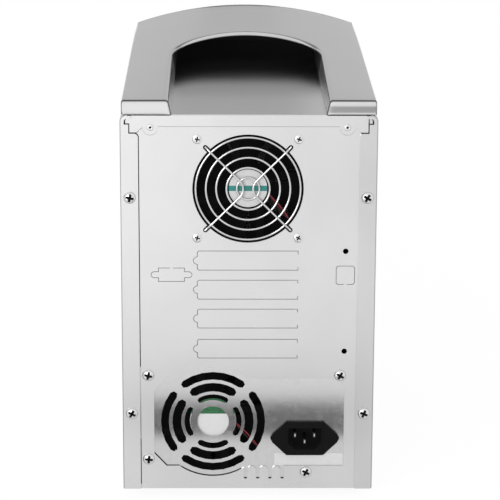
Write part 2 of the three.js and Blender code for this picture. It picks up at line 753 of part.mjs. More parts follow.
// Top panel: its edges step down under the covers' flanges, and its back is turned down over the back panel
function topPanel() {
  const flat = halfWidth - coverTopFlange - fit;
  const low = caseHeight - sheet - seat;
  const upper = [
    [-insideHalf + coverBend, low],
    [-flat, low],
    [-flat + joggleRun, caseHeight],
    [flat - joggleRun, caseHeight],
    [flat, low],
    [insideHalf - coverBend, low],
  ];
  const lower = [...upper].reverse().map(([x, z]) => [x, z - sheet]);
  const deck = alongY(polygonShape([...upper, ...lower]), panelInnerY, caseInnerFrontY);
  const corner = coverBend - sheet - fit;
  const edge = flangeEdge(0);
  const outline = polygonShape([
    ...edge,
    ...arcPoints(insideHalf - corner, caseHeight - corner, corner, 0, Math.PI / 2, cornerTurn),
    ...arcPoints(corner - insideHalf, caseHeight - corner, corner, Math.PI / 2, Math.PI, cornerTurn),
  ]);
  const flange = alongY(outline, panelOuterY, panelInnerY);
  const rivets = [-1, 1].map((side) => {
    const dome = [[0, 0], [rivetHeadRadius, 0], [rivetTopRadius, rivetHeadHeight], [0, rivetHeadHeight]];
    const head = geometryOf(turned(dome, smallTurn));
    return solidOf(head.translate(side * rivetX, panelOuterY, caseHeight - rivetDrop));
  });
  const bores = [-1, 1].map((side) => {
    const bore = discShape(side * rivetX, caseHeight - rivetDrop, rivetBore);
    return alongY(bore, panelOuterY + overrun, panelInnerY - overrun, coarseTurn);
  });
  return cut(join([deck, flange, ...rivets]), bores);
}
place('top_panel', topPanel(), caseSteel);

// Side covers: a wall with its top and bottom turned in, and the back flange with its notch
function sideCover(side) {
  const bend = coverBend;
  const turnedIn = new THREE.Shape();
  turnedIn.moveTo(halfWidth - coverBottomFlange, 0);
  turnedIn.lineTo(halfWidth, 0);
  turnedIn.absarc(halfWidth - bend, caseHeight - bend, bend, 0, Math.PI / 2);
  turnedIn.lineTo(halfWidth - coverTopFlange, caseHeight);
  turnedIn.lineTo(halfWidth - coverTopFlange, caseHeight - sheet);
  turnedIn.absarc(halfWidth - bend, caseHeight - bend, bend - sheet, Math.PI / 2, 0, true);
  turnedIn.lineTo(halfWidth - sheet, sheet);
  turnedIn.lineTo(halfWidth - coverBottomFlange, sheet);
  const wall = alongY(turnedIn, -sheet, -coverDepth, smallTurn);
  const inner = halfWidth - backFlangeWidth;
  const shoulder = caseHeight - flangeShoulderDrop;
  const end = caseHeight - flangeEndDrop;
  const radius = flangeShoulderRadius;
  const flangeShape = new THREE.Shape();
  flangeShape.moveTo(halfWidth, 0);
  flangeShape.lineTo(halfWidth, end);
  flangeShape.lineTo(halfWidth - flangeNotchWidth, end);
  flangeShape.lineTo(halfWidth - flangeNotchWidth, shoulder);
  flangeShape.absarc(inner + radius, shoulder - radius, radius, Math.PI / 2, Math.PI);
  flangeShape.lineTo(inner, 0);
  const flange = alongY(flangeShape, 0, -sheet, smallTurn);
  const relief = block(0, halfWidth + overrun, overrun, panelInnerY - seat, end, caseHeight + overrun);
  const lowRelief = block(0, halfWidth - sheet, -sheet, panelInnerY - seat, -overrun, sheet);
  const holes = coverScrewHeights.map((z) => {
    return alongY(discShape(coverScrewX, z, screwShankRadius + fit), overrun, -overrun, coarseTurn);
  });
  const right = cut(wall.subtract(lowRelief).add(flange), [relief, ...holes]);
  return side > 0 ? right : solidOf(geometryOf(right).scale(-1, 1, 1));
}
place('left_side_cover', sideCover(-1), caseSteel);
place('right_side_cover', sideCover(1), caseSteel);

// Height of the cap's top above the case, at a place across and a distance from the back
function crown(x, fromBack) {
  const arch = capCrownRise - (capCrownRadius - Math.sqrt(capCrownRadius ** 2 - x ** 2));
  return capLegHeight + arch * Math.min(fromBack / capCrest, 1);
}

// One cross-section of the cap, from the hand-hold's wall over the top to the outer wall. It runs from the
// point (grip) over the crest line (crest) to the outline (rim); lowered is the drop of the back edges.
function capSection(grip, crest, rim, drop, lowered) {
  const heightAt = (p) => caseHeight + crown(p.x, -p.y) - lowered;
  const between = (a, b, share) => a.clone().lerp(b, share);
  const at = (p, z) => new THREE.Vector3(p.x, p.y, z);
  const edgeShare = capEdge / grip.distanceTo(rim);
  const draftShare = -capDraft / grip.distanceTo(rim);
  const foot = between(grip, rim, draftShare);
  const round = between(grip, rim, edgeShare * capEdgeShare);
  const top = between(grip, rim, edgeShare);
  const ring = [at(foot, capBottomZ), at(grip, heightAt(grip) - capEdge)];
  ring.push(at(round, heightAt(round) - capEdge * capEdgeShare), at(top, heightAt(top)));
  for (let i = 1; i <= crownSteps; i += 1) {
    const p = between(top, crest, i / crownSteps);
    ring.push(at(p, heightAt(p)));
  }
  for (const share of capNoseStepShares) {
    const p = between(crest, rim, share);
    const fall = capNoseStraightShare * share + (1 - capNoseStraightShare) * share ** 2;
    ring.push(at(p, caseHeight + crown(p.x, Math.min(-p.y, capCrest)) - lowered - drop * fall));
  }
  ring.push(at(rim, capBottomZ));
  return ring;
}

// The cap as a loft round the hand-hold: up one leg, round the hood and down the other leg
function capBody() {
  const v = (x, y) => new THREE.Vector2(x, y);
  const crestX = capHalf - capEdge;
  const rings = [];
  const station = (grip, crest, rim, drop, lowered = 0) => {
    rings.push(capSection(grip, crest, rim, drop, lowered));
  };
  const leg = (side, fromBack, lowered) => {
    const [grip, crest, rim] = [gripHalf, crestX, capHalf].map((x) => v(side * x, -fromBack));
    station(grip, crest, rim, capEdge, lowered);
  };
  const round = capEdge * capEdgeShare;
  leg(-1, 0, capEdge);
  leg(-1, round, round);
  leg(-1, capEdge, 0);
  leg(-1, capHoodStart, 0);
  const corner = Math.atan2(capCrest - capHoodStart, crestX);
  const gripAt = (angle) => v(-gripHalf * Math.cos(angle), -capHoodStart - gripHalf * Math.sin(angle));
  const hood = [];
  for (let i = 1; i <= capSideSteps; i += 1) {
    const share = i / capSideSteps;
    const crest = v(-crestX, -capHoodStart - share * (capCrest - capHoodStart));
    const rim = v(-capHalf, -capHoodStart - share * (coverDepth - capHoodStart));
    const drop = THREE.MathUtils.lerp(capEdge, capNoseDrop, share ** capNosePower);
    hood.push([gripAt(share * corner), crest, rim, drop]);
  }
  for (let i = 1; i <= capArchSteps; i += 1) {
    const share = i / capArchSteps;
    const angle = THREE.MathUtils.lerp(corner, Math.PI / 2, share);
    const crest = v(-crestX * (1 - share), -capCrest);
    const rim = v(-capHalf * (1 - share), -coverDepth);
    hood.push([gripAt(angle), crest, rim, capNoseDrop]);
  }
  const mirrored = (p) => v(-p.x, p.y);
  hood.forEach((row) => station(...row));
  const back = hood.slice(0, -1).reverse();
  back.forEach(([grip, crest, rim, drop]) => station(mirrored(grip), mirrored(crest), mirrored(rim), drop));
  leg(1, capHoodStart, 0);
  leg(1, capEdge, 0);
  leg(1, round, round);
  leg(1, 0, capEdge);
  return loft(rings);
}

// A hollow under the crown, one wall's thickness below the top
function underCrown(x0, x1, from, to) {
  const rings = [];
  for (let i = 0; i <= hollowAlongSteps; i += 1) {
    const fromBack = THREE.MathUtils.lerp(from, to, i / hollowAlongSteps);
    const nose = Math.max(0, fromBack - capCrest) / (coverDepth - capCrest);
    const fall = capNoseDrop * (capNoseStraightShare * nose + (1 - capNoseStraightShare) * nose ** 2);
    const ring = [new THREE.Vector3(x0, -fromBack, caseHeight - overrun)];
    for (let j = 0; j <= hollowAcrossSteps; j += 1) {
      const x = THREE.MathUtils.lerp(x0, x1, j / hollowAcrossSteps);
      ring.push(new THREE.Vector3(x, -fromBack, caseHeight + crown(x, fromBack) - capWall - fall));
    }
    ring.push(new THREE.Vector3(x1, -fromBack, caseHeight - overrun));
    rings.push(ring);
  }
  return loft(rings);
}

function handleCap() {
  const gripFoot = gripHalf - capDraft;
  const grip = underCrown(-gripFoot, gripFoot, -overrun, capGripDepth);
  const inner = gripHalf + capWall;
  const outer = capHalf - capWall;
  const from = capWall;
  const to = coverDepth - capWall;
  const pocketLength = (to - from - (capRibCount - 1) * capRib) / capRibCount;
  const pockets = [];
  for (let i = 0; i < capRibCount; i += 1) {
    const start = from + i * (pocketLength + capRib);
    pockets.push(underCrown(inner, outer, start, start + pocketLength));
    pockets.push(underCrown(-outer, -inner, start, start + pocketLength));
  }
  const front = underCrown(-gripFoot, gripFoot, capGripDepth + capWall, to);
  return cut(capBody(), [grip, front, ...pockets]);
}
place('handle_cap', handleCap(), silverMoulding);

// Front frame: a plate with the opening for the drives and its sides turned back
function frontFrame() {
  const plate = block(-insideHalf, insideHalf, frameOuterY, frameInnerY, panZ, caseHeight - coverBend);
  const openingHalf = faceWidth / 2 + frameOpeningMargin;
  const low = bayBottom - frameOpeningMargin;
  const high = bayTop + frameOpeningMargin;
  const opening = block(-openingHalf, openingHalf, frameOuterY - overrun, frameInnerY + overrun, low, high);
  const sides = [-1, 1].map((side) => {
    const outer = side * (insideHalf - sheet - fit);
    const [low, high] = [panTopZ + panLip + fit, caseHeight - 2 * coverBend];
    return block(outer - side * sheet, outer, frameOuterY, frameInnerY + frameFlange, low, high);
  });
  const switchShape = discShape(powerX, powerZ, powerRadius / 2);
  const switchHole = alongY(switchShape, frameOuterY - overrun, frameInnerY + overrun);
  return cut(join([plate, ...sides]), [opening, switchHole]);
}
place('front_frame', frontFrame(), zincSteel);

// Drive cage: two cheeks between the base pan and the top panel, slotted for the drives' screws
function cageCheek(side) {
  const back = -cheekBack;
  const front = caseInnerFrontY;
  const low = panTopZ + seat;
  const high = caseHeight - 2 * sheet - 2 * seat;
  const plate = block(cheekX, cheekX + sheet, back, front, low, high);
  const foot = block(cheekX, cheekX + cheekFlange, back, front, low, low + sheet);
  const head = block(cheekX, cheekX + cheekFlange, back, front, high - sheet, high);
  const slots = [];
  for (let bay = 0; bay <= driveCount; bay += 1) {
    const z = bayBottom + (bay + 0.5) * bayPitch;
    for (const share of cheekSlotShares) {
      const y = THREE.MathUtils.lerp(back, front, share);
      const shape = slotShape(y, z, cheekSlotLength, cheekSlotRadius);
      slots.push(alongX(shape, cheekX - overrun, cheekX + overrun, cornerTurn));
    }
  }
  const right = cut(join([plate, foot, head]), slots);
  return side > 0 ? right : solidOf(geometryOf(right).scale(-1, 1, 1));
}
place('drive_cage_left', cageCheek(-1), zincSteel);
place('drive_cage_right', cageCheek(1), zincSteel);

// Front bezel: a shell with an arched top, the opening for the faceplates and the power button's hole
function bezelShape(inset) {
  const half = halfWidth - inset;
  const low = inset;
  const topAt = (x) => caseHeight + crown(x, capCrest) - capNoseDrop - bezelStepDown - inset;
  const points = [[-half + bezelCorner, low], [half - bezelCorner, low], [half, low + bezelCorner]];
  points.push([half, topAt(half) - bezelCorner / 2]);
  for (let i = 0; i <= capArchSteps; i += 1) {
    const x = (half - bezelCorner / 2) * (1 - 2 * i / capArchSteps);
    points.push([x, topAt(x)]);
  }
  points.push([-half, topAt(half) - bezelCorner / 2], [-half, low + bezelCorner]);
  return polygonShape(points);
}

function frontBezel() {
  const bevel = { bevelThickness: bezelEdge, bevelSize: bezelEdge, bevelSegments: 1 };
  const depth = bezelDepth - bezelEdge + overrun;
  const geometry = new THREE.ExtrudeGeometry(bezelShape(bezelEdge), { depth, bevelEnabled: true, ...bevel });
  geometry.rotateX(Math.PI / 2).translate(0, bezelBackY + overrun, 0);
  const room = block(-caseWidth, caseWidth, bezelBackY, frontY - overrun, -overrun, 2 * caseHeight);
  const blank = solidOf(geometry).intersect(room);
  const hollow = alongY(bezelShape(bezelWall), bezelBackY + overrun, frontY + bezelWall);
  const openingHalf = faceWidth / 2 + faceGap;
  const low = bayBottom - faceGap;
  const high = bayTop + faceGap;
  const opening = block(-openingHalf, openingHalf, bezelBackY + overrun, frontY - overrun, low, high);
  const outerHalf = openingHalf + baySurround;
  const [outerLow, outerHigh] = [low - baySurround, high + baySurround];
  const innerY = frontY + bezelWall;
  const surround = block(-outerHalf, outerHalf, bezelBackY, innerY, outerLow, outerHigh);
  const guideShape = discShape(powerX, powerZ, powerRadius + fit + bezelWall);
  const guide = alongY(guideShape, bezelBackY - fit, innerY, turn);
  const holeShape = discShape(powerX, powerZ, powerRadius + fit);
  const hole = alongY(holeShape, bezelBackY + overrun, frontY - overrun, turn);
  const shell = join([blank.subtract(hollow), surround, guide]);
  return cut(shell, [opening, hole]);
}
place('front_bezel', frontBezel(), silverMoulding);

// Buttons: a cap that stands out of its guide by proud, with rounded edges at the front
function keySolid(radius, length) {
  const edge = radius * keyEdgeShare;
  const profile = [[0, -length], [radius - edge, -length], [radius, -length + edge], [radius, 0], [0, 0]];
  return turned(profile, smallTurn);
}
const powerBackY = frontY - powerProud + powerLength;
place('power_button', keySolid(powerRadius, powerLength), whiteMoulding, powerX, powerBackY, powerZ);

// Optical drives
const faceY = frontY + faceThickness; // back of the faceplates
const driveFrontY = faceY + seat;
const trayZ = trayFrontZ - traySink;

// A drive's case is a thin box with a slot for the tray and a rail along each side that carries it
function driveCase() {
  const half = driveWidth / 2;
  const inner = half - sheet;
  const [front, back] = [driveFrontY, driveFrontY + driveDepth];
  const body = block(-half, half, front, back, 0, driveHeight);
  const hollow = block(-inner, inner, front + sheet, back - sheet, sheet, driveHeight - sheet);
  const slotHalf = trayWidth / 2 + fit;
  const [low, high] = [trayZ - trayThickness / 2 - seat, trayZ + trayThickness / 2 + fit];
  const rails = [-1, 1].map((side) => {
    const outer = side * (half - sheet / 2);
    return block(outer, side * (slotHalf - trayRail), front + sheet / 2, front + trayLength, sheet / 2, low);
  });
  const slot = block(-slotHalf, slotHalf, front - overrun, front + overrun, low, high);
  return join([body.subtract(hollow), ...rails]).subtract(slot);
}

function driveFace() {
  const half = faceWidth / 2;
  const middle = driveHeight / 2;
  const plate = block(-half, half, frontY, faceY, middle - faceHeight / 2, middle + faceHeight / 2);
  const window = (x, z, width, height) => {
    const [w, h] = [width / 2 + fit, height / 2 + fit];
    return block(x - w, x + w, frontY - overrun, faceY + overrun, z - h, z + h);
  };
  const slot = window(0, trayFrontZ, trayFrontWidth, trayFrontHeight);
  return cut(plate, [slot, window(ejectX, ejectZ, ejectWidth, ejectHeight)]);
}

// The tray: a bar that closes the slot, and a plate with the recesses for both sizes of disc
function driveTray() {
  const [barHalf, barRise] = [trayFrontWidth / 2, trayFrontHeight / 2];
  const bar = block(-barHalf, barHalf, frontY, faceY, -barRise, barRise);
  const half = trayWidth / 2;
  const [low, high] = [-traySink - trayThickness / 2, -traySink + trayThickness / 2];
  const plate = block(-half, half, faceY, faceY + trayLength, low, high);
  const discY = frontY + discSetback;
  const large = alongZ(discShape(0, discY, discRecess), high - discRecessDepth, high + overrun, turn);
  const smallLow = high - discRecessDepth - smallDiscDepth;
  const small = alongZ(discShape(0, discY, smallDiscRecess), smallLow, high + overrun, turn);
  const pickupHalf = pickupWidth / 2;
  const [pickupY, pickupEnd] = [discY - pickupReach, faceY + trayLength + overrun];
  const pickup = block(-pickupHalf, pickupHalf, pickupY, pickupEnd, low - overrun, high + overrun);
  return cut(bar.add(plate), [large, small, pickup]);
}

function ejectButton() {
  const back = faceY - ejectTravel - fit;
  const [half, rise] = [ejectWidth / 2, ejectHeight / 2];
  return block(-half, half, frontY - ejectProud, back, -rise, rise);
}

const driveSolids = { box: driveCase(), face: driveFace(), tray: driveTray(), eject: ejectButton() };
for (let i = 0; i < driveCount; i += 1) {
  const z = bayBottom + i * bayPitch + bayGap / 2;
  place(`drive_${i + 1}_case`, driveSolids.box, zincSteel, 0, 0, z);
  place(`drive_${i + 1}_faceplate`, driveSolids.face, darkMoulding, 0, 0, z);
  place(`drive_${i + 1}_tray`, driveSolids.tray, darkMoulding, 0, 0, z + trayFrontZ);
  place(`drive_${i + 1}_eject_button`, driveSolids.eject, darkMoulding, ejectX, 0, z + ejectZ);
}

// Controller: a faceplate with the display's window and four keys, on a short box
function controllerModule() {
  const half = faceWidth / 2;
  const middle = driveHeight / 2;
  const plate = block(-half, half, frontY, faceY, middle - faceHeight / 2, middle + faceHeight / 2);
  const box = block(-driveWidth / 2, driveWidth / 2, faceY, faceY + controllerDepth, 0, driveHeight);
  const [dw, dh] = [displayWidth / 2 + fit, displayHeight / 2 + fit];
  const sink = frontY + displayThickness + seat;
  const window = block(displayX - dw, displayX + dw, frontY - overrun, sink, middle - dh, middle + dh);
  const keys = Array.from({ length: keyCount }, (_, i) => {
    const hole = discShape(keyFirstX + i * keyPitch, middle, keyRadius + fit);
    return alongY(hole, frontY - overrun, faceY, smallTurn);
  });
  return cut(plate.add(box), [window, ...keys]);
}
const controllerZ = bayBottom + driveCount * bayPitch + bayGap / 2;
const controllerMiddle = controllerZ + driveHeight / 2;
place('controller_module', controllerModule(), darkMoulding, 0, 0, controllerZ);

function displayPane() {
  const [half, rise] = [displayWidth / 2, displayHeight / 2];
  return block(-half, half, frontY, frontY + displayThickness, -rise, rise);
}
place('display_window', displayPane(), displayGlass, displayX, 0, controllerMiddle);

const keyLength = faceThickness + keyProud - keyTravel - fit;
const keyBackY = frontY - keyProud + keyLength;
const key = keySolid(keyRadius, keyLength);
for (let i = 0; i < keyCount; i += 1) {
  const x = keyFirstX + i * keyPitch;
  place(`controller_key_${i + 1}`, key, whiteMoulding, x, keyBackY, controllerMiddle);
}

// Fan frame: a square with a round bore, the motor's plate and four struts that pass the axis to one side
function fanFrame(hub) {
  const half = fanSize / 2;
  const square = alongY(roundedShape(-half, half, -half, half, fanCorner), 0, -fanDepth, cornerTurn);
  const bore = alongY(discShape(0, 0, fanBore), overrun, -fanDepth - overrun, fineTurn);
  const holes = fanScrewPlaces.map(([x, z]) => {
    return alongY(discShape(x, z, fanScrewHole), overrun, -fanDepth - overrun, coarseTurn);
  });
  const top = -fanPlateRecess;
  const low = top - fanPlateThickness;
  const plate = alongY(discShape(0, 0, hub), top, low, turn);
  const [strutLow, strutHigh] = [-fanStrutOffset - fanStrutWidth / 2, -fanStrutOffset + fanStrutWidth / 2];
  const bar = block(0, fanBore + seat, top, low, strutLow, strutHigh);
  const struts = [0, 1, 2, 3].map((k) => solidOf(geometryOf(bar).rotateY(k * Math.PI / 2)));
  return join([cut(square, [bore, ...holes]), plate, ...struts]);
}

// One blade: flat sections, turned less from the root to the tip
function fanBlade() {
  const top = -fanPlateRecess - fanPlateThickness - fanRunningGap;
  const middle = top - fanRotorDepth / 2;
  const tip = fanBore - fanTipGap;
  const root = fanRotorHub - fanBladeThickness;
  const stations = bladeStationShares.map((share) => {
    const radius = THREE.MathUtils.lerp(root, tip, share);
    const pitch = THREE.MathUtils.degToRad(THREE.MathUtils.lerp(fanRootPitch, fanTipPitch, share));
    const chord = THREE.MathUtils.lerp(fanRootChord, fanTipChord, share);
    const [cos, sin] = [Math.cos(pitch), Math.sin(pitch)];
    const corners = [[-1, -1], [1, -1], [1, 1], [-1, 1]];
    return corners.map(([a, b]) => {
      const [along, across] = [a * chord / 2, b * fanBladeThickness / 2];
      return new THREE.Vector3(along * cos - across * sin, middle + along * sin + across * cos, radius);
    });
  });
  return loft(stations);
}

function fanRotor() {
  const top = -fanPlateRecess - fanPlateThickness - fanRunningGap;
  const hub = alongY(discShape(0, 0, fanRotorHub), top, top - fanRotorDepth, turn);
  const blade = fanBlade();
  const blades = Array.from({ length: fanBladeCount }, (_, i) => {
    return solidOf(geometryOf(blade).rotateY(i * 2 * Math.PI / fanBladeCount));
  });
  const sweep = alongY(discShape(0, 0, fanBore - fanTipGap), 0, -fanDepth, turn);
  return join([hub, ...blades]).intersect(sweep);
}
const rotorSolid = fanRotor();
place('back_fan_frame', fanFrame(backFanHub), blackMoulding, backFanX, backFanY, backFanZ);
place('back_fan_rotor', rotorSolid, blackMoulding, backFanX, backFanY, backFanZ);
place('supply_fan_frame', fanFrame(supplyFanHub), blackMoulding, supplyFanX, supplyFanY, supplyFanZ);
place('supply_fan_rotor', rotorSolid, blackMoulding, supplyFanX, supplyFanY, supplyFanZ);

// Wire guard: rings welded under two hairpins, whose ends dip through the notches to the fan's frame
function guardHairpin(side) {
  const spokeY = guardSpokeProud - guardWire;
  const endY = backFanY + seat + guardWire;
  const line = new THREE.Vector3(side * Math.SQRT1_2, 0, Math.SQRT1_2);
  const at = (distance, y, up) => new THREE.Vector3(line.x * distance, y, up * line.z * distance);
  const bend = guardBend;
  const apex = new THREE.Vector3(side * bend * (Math.SQRT2 - 1), spokeY, 0);
  const upper = [
    at(guardNotchReach - guardSpokeInset, endY, 1),
    at(backFanOpening, (endY + spokeY) / 2, 1),
    at(fanBore - guardWire, spokeY, 1),
  ];
  const middle = [at(2 * bend, spokeY, 1), at(bend, spokeY, 1)];
  const mirrored = [...upper, ...middle].reverse().map((p) => new THREE.Vector3(p.x, p.y, -p.z));
  const path = new THREE.CatmullRomCurve3([...upper, ...middle, apex, ...mirrored]);
  const section = new THREE.Shape();
  section.absarc(0, 0, guardWire, 0, 2 * Math.PI);
  const wire = { steps: spokeSteps, extrudePath: path, curveSegments: wireSides / 2 };
  return solidOf(new THREE.ExtrudeGeometry(section, wire));
}

function fanGuard() {
  const ringY = guardSpokeProud - 3 * guardWire + guardBedding;
  const rings = Array.from({ length: guardRingCount }, (_, i) => {
    const radius = THREE.MathUtils.lerp(guardOuterRing, guardInnerRing, i / (guardRingCount - 1));
    const steps = Math.max(smallTurn, Math.round(radius * turn / guardOuterRing));
    const ring = new THREE.TorusGeometry(radius, guardWire, wireSides, steps);
    return solidOf(ring.rotateX(Math.PI / 2).translate(0, ringY, 0));
  });
  return join([guardHairpin(1), guardHairpin(-1), ...rings]);
}
place('back_fan_guard', fanGuard(), chromeWire, backFanX, 0, backFanZ);

// Power supply: a thin box with a stamped grille, a cut-out for the inlet and a hole for its cables
const grilleOuter = fanBore - grilleInset;
const grilleMiddle = grilleOuter - grilleOuterSlot - grilleOuterWeb;
const grilleInner = grilleMiddle - grilleMiddleSlot - grilleMiddleWeb;
const grilleEye = grilleInner - grilleInnerSlot - grilleInnerWeb;

function grilleSlots(y0, y1) {
  const outerRows = [[grilleOuter, grilleOuterSlot], [grilleMiddle, grilleMiddleSlot]];
  return [...outerRows, [grilleInner, grilleInnerSlot]].flatMap(([outer, width]) => {
    const inner = outer - width;
    const middle = (inner + outer) / 2;
    const endRadius = width / 2;
    const reach = Math.PI / 4 - (grilleSpoke / 2 + endRadius) / middle;
    const [x, z] = [middle * Math.cos(reach), middle * Math.sin(reach)];
    const outline = [
      ...arcPoints(0, 0, outer, -reach, reach, slotSteps),
      ...arcPoints(x, z, endRadius, reach, reach + Math.PI, slotEndSteps).slice(1, -1),
      ...arcPoints(0, 0, inner, reach, -reach, slotSteps),
      ...arcPoints(x, -z, endRadius, Math.PI - reach, 2 * Math.PI - reach, slotEndSteps).slice(1, -1),
    ];
    const slot = alongY(polygonShape(outline), y0, y1);
    return [0, 1, 2, 3].map((k) => solidOf(geometryOf(slot).rotateY(k * Math.PI / 2)));
  });
}

function inletShape() {
  const [half, flat, rise] = [inletWidth / 2, inletFlat / 2, inletHeight / 2];
  const nose = inletNose;
  return polygonShape([
    [-flat, -rise], [flat, -rise], [half - nose / 2, -nose], [half, 0], [half - nose / 2, nose],
    [flat, rise], [-flat, rise], [-half + nose / 2, nose], [-half, 0], [-half + nose / 2, -nose],
  ]);
}

function supplyCasing() {
  const [x0, x1] = [supplyRightX, supplyLeftX];
  const [z0, z1] = [supplyZ, supplyZ + supplyHeight];
  const [y0, y1] = [supplyFaceY, supplyFaceY - supplyDepth];
  const box = block(x0, x1, y0, y1, z0, z1);
  const hollow = block(x0 + sheet, x1 - sheet, y0 - sheet, y1 + sheet, z0 + sheet, z1 - sheet);
  const [c0, c1] = [y0 + overrun, y0 - sheet - overrun];
  const slots = grilleSlots(c0, c1).map((slot) => {
    return solidOf(geometryOf(slot).translate(supplyFanX, 0, supplyFanZ));
  });
  const eye = alongY(discShape(supplyFanX, supplyFanZ, grilleEye), c0, c1, turn);
  const bodyHalf = inletBodyWidth / 2 + fit;
  const bodyRise = inletBodyHeight / 2 + fit;
  const socket = block(inletX - bodyHalf, inletX + bodyHalf, c0, c1, inletZ - bodyRise, inletZ + bodyRise);
  const screwHoles = supplyScrewPlaces.map(([x, z]) => {
    return alongY(discShape(x, z, screwShankRadius + fit), c0, c1, coarseTurn);
  });
  const cableShape = discShape(x1 - cableHoleInset, z0 + cableHoleInset, cableHoleRadius);
  const cables = alongY(cableShape, y1 + overrun, y1 - overrun);
  return cut(box, [hollow, eye, socket, cables, ...slots, ...screwHoles]);
}
place('supply_casing', supplyCasing(), zincSteel);

// Mains inlet: a flange with two points and a raised block at its middle, and a body with the socket, which
// has two cut corners on the earth side
function mainsInlet() {
  const flange = alongY(inletShape(), inletFlange, 0);
  const [blockHalf, blockRise] = [inletBlockWidth / 2, inletBlockHeight / 2];
  const blockY = inletFlange + inletBlockProud;
  const raised = block(-blockHalf, blockHalf, blockY, inletFlange / 2, -blockRise, blockRise);
  const [half, rise] = [inletBodyWidth / 2, inletBodyHeight / 2];
  const body = block(-half, half, inletFlange / 2, -inletBodyDepth, -rise, rise);
  const [sw, sh] = [socketWidth / 2, socketHeight / 2];
  const socketShape = polygonShape([
    [-sw + socketChamfer, -sh], [sw - socketChamfer, -sh], [sw, -sh + socketChamfer],
    [sw, sh], [-sw, sh], [-sw, -sh + socketChamfer],
  ]);
  const socket = alongY(socketShape, blockY + overrun, inletFlange - socketDepth);
  return join([flange, raised, body]).subtract(socket);
}
const inletY = supplyFaceY + seat;
place('mains_inlet', mainsInlet(), blackMoulding, inletX, inletY, inletZ);

// Pins of the inlet stand on the floor of its socket
const pinBackY = inletFlange - socketDepth + seat;
const pinReach = [pinBackY, pinBackY + pinLength];
const pinSolid = block(-pinWidth / 2, pinWidth / 2, ...pinReach, -pinHeight / 2, pinHeight / 2);
const pins = {
  inlet_pin_line: [pinPitch / 2, livePinRise],
  inlet_pin_neutral: [-pinPitch / 2, livePinRise],
  inlet_pin_earth: [0, -earthPinDrop],
};
for (const [name, [x, z]] of Object.entries(pins)) {
  place(name, pinSolid, screwSteel, inletX + x, inletY, inletZ + z);
}

// Screws: y = 0 is the face that the head sits on
function screw(head, height, shank, length, recess) {
  const stem = [[0, -length], [shank, -length], [shank, 0]];
  const brim = [head * headBrimShare, height * headBrimRiseShare];
  const dome = [[head, 0], brim, [head * headTopShare, height], [0, height]];
  return turned([...stem, ...dome], smallTurn).subtract(recess);
}
const panRecess = crossRecess(crossLength, crossWidth, crossDepth, screwHeadHeight);
const panScrew = screw(screwHeadRadius, screwHeadHeight, screwShankRadius, screwShankLength, panRecess);
const fanRecess = crossRecess(fanCrossLength, fanCrossWidth, fanCrossDepth, fanScrewHeadHeight);
const fanShank = [fanScrewShankRadius, fanScrewShankLength];
const fanScrew = screw(fanScrewHeadRadius, fanScrewHeadHeight, ...fanShank, fanRecess);

for (const [side, x] of Object.entries({ left: -coverScrewX, right: coverScrewX })) {
  coverScrewHeights.forEach((z, i) => {
    place(`cover_screw_${side}_${i + 1}`, panScrew, screwSteel, x, seat / 2, z);
  });
}
supplyScrewPlaces.forEach(([x, z], i) => {
  place(`supply_screw_${i + 1}`, panScrew, screwSteel, x, panelOuterY + seat / 2, z);
});
fanScrewPlaces.forEach(([x, z], i) => {
  place(`fan_screw_${i + 1}`, fanScrew, screwSteel, backFanX + x, panelOuterY + seat / 2, backFanZ + z);
});

export default tower;
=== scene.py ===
import math

import bmesh
import bpy
import numpy as np
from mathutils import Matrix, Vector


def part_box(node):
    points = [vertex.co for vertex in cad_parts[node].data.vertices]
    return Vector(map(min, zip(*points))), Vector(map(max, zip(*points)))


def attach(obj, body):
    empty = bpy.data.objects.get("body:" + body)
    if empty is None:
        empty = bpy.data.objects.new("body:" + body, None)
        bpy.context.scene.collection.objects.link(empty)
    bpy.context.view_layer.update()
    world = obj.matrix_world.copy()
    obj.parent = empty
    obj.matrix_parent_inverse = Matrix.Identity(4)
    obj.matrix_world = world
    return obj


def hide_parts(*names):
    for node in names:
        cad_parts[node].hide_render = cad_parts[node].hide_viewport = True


# The looks of a tower that copies discs, put together in the order in which the real one is. Sizes are in
# millimetres in the case's own directions: x across, y outwards through the back, z up from the lower
# edge of the panels. A mesh is put in metres, in the row's frame, when it is made.
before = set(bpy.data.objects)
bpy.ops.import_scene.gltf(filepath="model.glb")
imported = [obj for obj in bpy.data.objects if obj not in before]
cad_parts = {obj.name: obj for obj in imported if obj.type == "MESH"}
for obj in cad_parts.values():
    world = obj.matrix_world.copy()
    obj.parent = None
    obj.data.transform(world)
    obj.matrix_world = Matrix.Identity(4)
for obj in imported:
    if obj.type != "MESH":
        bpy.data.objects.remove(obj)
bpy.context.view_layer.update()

# Base pan, front frame, drive cage and the drives' cases: folded from galvanised sheet steel, which shows
# pale flakes of zinc a few millimetres wide. They are spot-welded or screwed together inside the covers.


class Wire:
    """A socket of one look's nodes. Arithmetic on it adds Math nodes, and node() adds any other kind."""

    def __init__(self, tree, socket):
        self.tree = tree
        self.socket = socket

    def node(self, kind, settings, values, out=0):
        """Adds a node: its settings first, then its sockets, each by a number or colour or by a wire."""
        made = self.tree.nodes.new("ShaderNode" + kind)
        for name, setting in settings.items():
            setattr(made, name, setting)
        for name, value in values.items():
            if isinstance(value, Wire):
                self.tree.links.new(value.socket, made.inputs[name])
            else:
                made.inputs[name].default_value = value
        return Wire(self.tree, made.outputs[out])

    def maths(self, operation, first, second=0.0):
        return self.node("Math", {"operation": operation}, {0: first, 1: second})

    def __add__(self, other):
        return self.maths("ADD", self, other)

    __radd__ = __add__

    def __sub__(self, other):
        return self.maths("SUBTRACT", self, other)

    def __rsub__(self, other):
        return self.maths("SUBTRACT", other, self)

    def __mul__(self, other):
        return self.maths("MULTIPLY", self, other)

    __rmul__ = __mul__

    def __abs__(self):
        return self.maths("ABSOLUTE", self)


